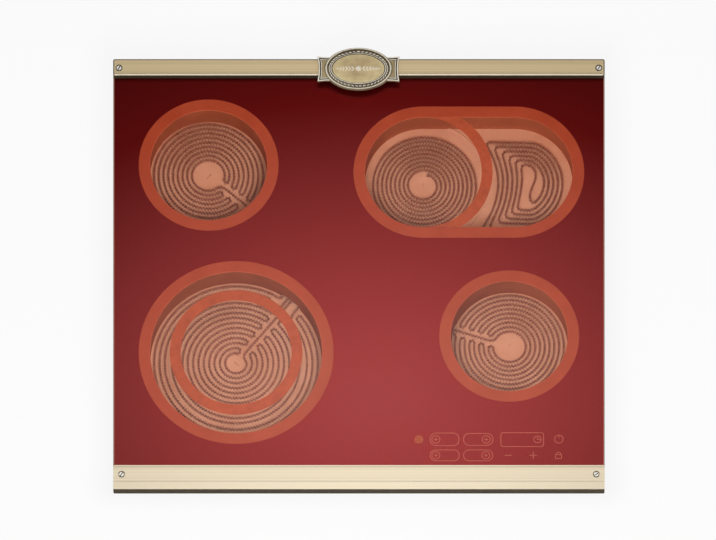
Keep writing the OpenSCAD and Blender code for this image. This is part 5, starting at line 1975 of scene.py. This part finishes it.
@dataclass
class Studio:
    """Pale floor, soft lamps, world and camera, with the lamps' places and sizes in metres."""

    elevation: float = 69.7
    distance: float = 2.0
    target: Triple = (-1.1, 6.4, 2.4)
    width: float = 859.5
    floor: float = -52.1
    floor_tone: Colour = (0.85, 0.85, 0.85)
    floor_glow: float = 0.88
    world_level: float = 0.42
    gloss_level: Point = (1.0, 0.03)
    front_place: Triple = (0.0, -0.45, 0.95)
    front_size: float = 0.5
    front_power: float = 6.8
    overhead_place: Triple = (0.02, 0.21, 1.0)
    overhead_aim: Triple = (0.02, 0.20999, 0.0)
    overhead_size: Point = (1.1, 0.76)
    overhead_power: float = 3.8

    def camera(self) -> None:
        """Adds the parallel camera at the viewing angle and, in metres, its distance from the target."""
        angle = math.radians(self.elevation)
        data = bpy.data.cameras.new("camera")
        data.type = "ORTHO"
        data.ortho_scale = mm(self.width)
        data.clip_end = 20.0
        camera = bpy.data.objects.new("camera", data)
        x, y, z = (mm(c) for c in self.target)
        camera.location = (x, y - self.distance * math.cos(angle), z + self.distance * math.sin(angle))
        camera.rotation_euler = (math.pi / 2 - angle, 0.0, 0.0)
        bpy.context.scene.collection.objects.link(camera)
        bpy.context.scene.camera = camera

    def lamp(self, name: str, place: Triple, size: float, power: float, aim: Triple) -> Object:
        """Adds a soft square lamp.

        Args:
            name: Lamp name.
            place: Its place in metres.
            size: Its edge in metres.
            power: Its power in watts.
            aim: The point that it looks at, in metres.

        Returns:
            The lamp.
        """
        data = bpy.data.lights.new(name, "AREA")
        data.shape = "SQUARE"
        data.size = size
        data.energy = power
        lamp = bpy.data.objects.new(name, data)
        lamp.location = place
        way = [a - p for a, p in zip(aim, place)]
        flat = math.hypot(way[0], way[1])
        lamp.rotation_euler = (math.atan2(flat, -way[2]), 0.0, math.atan2(way[1], way[0]) - math.pi / 2)
        bpy.context.scene.collection.objects.link(lamp)
        return lamp

    def lamps(self) -> None:
        """Adds the large overhead lamp, which fades evenly from its middle to its rim, and the front lamp."""
        width, depth = self.overhead_size
        data = self.lamp("overhead", self.overhead_place, width, self.overhead_power, self.overhead_aim).data
        data.shape, data.size_y = "RECTANGLE", depth
        data.use_nodes = True
        w = Wiring(data.node_tree)
        place = w.add("ShaderNodeNewGeometry").outputs["Parametric"]
        away = w.add("ShaderNodeVectorMath", {0: place, 1: (0.5, 0.5, 0.0)}, operation="DISTANCE").outputs["Value"]
        glow = w.first("ShaderNodeEmission", {"Color": WHITE, "Strength": w.spread(away, 0.0, 0.5, 1.0, 0.0)})
        w.add("ShaderNodeOutputLight", {"Surface": glow})
        front = self.lamp("front", self.front_place, self.front_size, self.front_power, (0.0, 0.0, 0.0))
        front.visible_glossy = False

    def world(self) -> None:
        """Sets a world that is white where it is seen, dark overhead in gloss and even in diffuse light."""
        world = bpy.data.worlds.new("studio")
        world.use_nodes = True
        bpy.context.scene.world = world
        w = Wiring(world.node_tree)
        ray = w.add("ShaderNodeLightPath").outputs
        way = w.add("ShaderNodeSeparateXYZ", {0: w.add("ShaderNodeTexCoord").outputs["Generated"]}).outputs
        gloss = w.spread(way[2], 0.10, 0.50, *self.gloss_level)
        mirrored = w.math("MAXIMUM", ray["Is Glossy Ray"], ray["Is Transmission Ray"])
        level = w.first("ShaderNodeMix", {0: mirrored, 2: self.world_level, 3: gloss}, data_type="FLOAT")
        level = w.first("ShaderNodeMix", {0: ray["Is Camera Ray"], 2: level, 3: 1.0}, data_type="FLOAT")
        sky = w.first("ShaderNodeBackground", {"Color": WHITE, "Strength": level})
        w.add("ShaderNodeOutputWorld", {"Surface": sky})

    def ground(self) -> None:
        """Adds the pale floor, white where it is seen, with the object's shadow on it."""
        clear_selection()
        bpy.ops.mesh.primitive_plane_add(size=8.0, location=(0, 0, mm(self.floor)))
        floor = settle(bpy.context.object, "floor")
        material, w = new_material("floor")
        ray = w.add("ShaderNodeLightPath").outputs
        seen = w.math("MAXIMUM", ray["Is Camera Ray"], ray["Is Glossy Ray"])
        seen = w.math("MAXIMUM", seen, ray["Is Transmission Ray"])
        pale = w.first("ShaderNodeBsdfDiffuse", {"Color": rgba(self.floor_tone)})
        white = w.first("ShaderNodeEmission", {"Color": WHITE, "Strength": 1.0})
        w.surface(w.first("ShaderNodeMixShader", {0: w.math("MULTIPLY", seen, self.floor_glow), 1: pale, 2: white}))
        floor.data.materials.append(material)

    def build(self) -> None:
        """Builds the whole studio."""
        self.camera()
        self.world()
        self.ground()
        self.lamps()
        bpy.context.scene.view_settings.view_transform = "Standard"


def main() -> None:
    """Builds the cooktop piece by piece and reports each."""
    logging.basicConfig(level=logging.INFO, format="%(name)s %(message)s")
    route = RibbonRoute()
    small_out, large_out = 85.6, 118.6
    small = route.meander(9, 65.2, 5.7, 9.0, small_out, 0.0)
    large = {"front_left_inner_ribbon": route.meander(11, 76.9, 6.4, 9.0, large_out, 0.0),
             "front_left_outer_ribbon": route.meander(3, 98.0, 6.4, 22.0, large_out, -12.1)}
    oval = {"rear_right_round_ribbon": route.spiral(small_out),
            "rear_right_side_ribbon": SideRoute().points(small_out)}
    zones: list[HeatingZone] = [
        HeatingZone("rear_left", -40.0, 84.0, {"rear_left_ribbon": small}),
        HeatingZone("front_right", 162.0, 84.0, {"front_right_ribbon": small}),
        TwoRingZone("front_left", 50.0, 117.0, large, slot_half=15.0),
        OvalZone("rear_right", 0.0, 84.0, oval, 109.0),
    ]
    CarriedNodes().build()
    for zone in zones:
        zone.build()
    GlassPanel().build(zones)
    KeyMarks().build()
    TrimBar(Side.REAR).build()
    # The front bar's outer rounding takes the painted highlight.
    TrimBar(Side.FRONT, lap=6.0, out=24.0, band=9.0, band_drop=2.4, screw=(285.0, 260.7), outer_edge=2,
            round_ends=False).build()
    TrimScrews().build()
    Medallion().build()
    Studio().build()


if __name__ == "__main__":
    main()
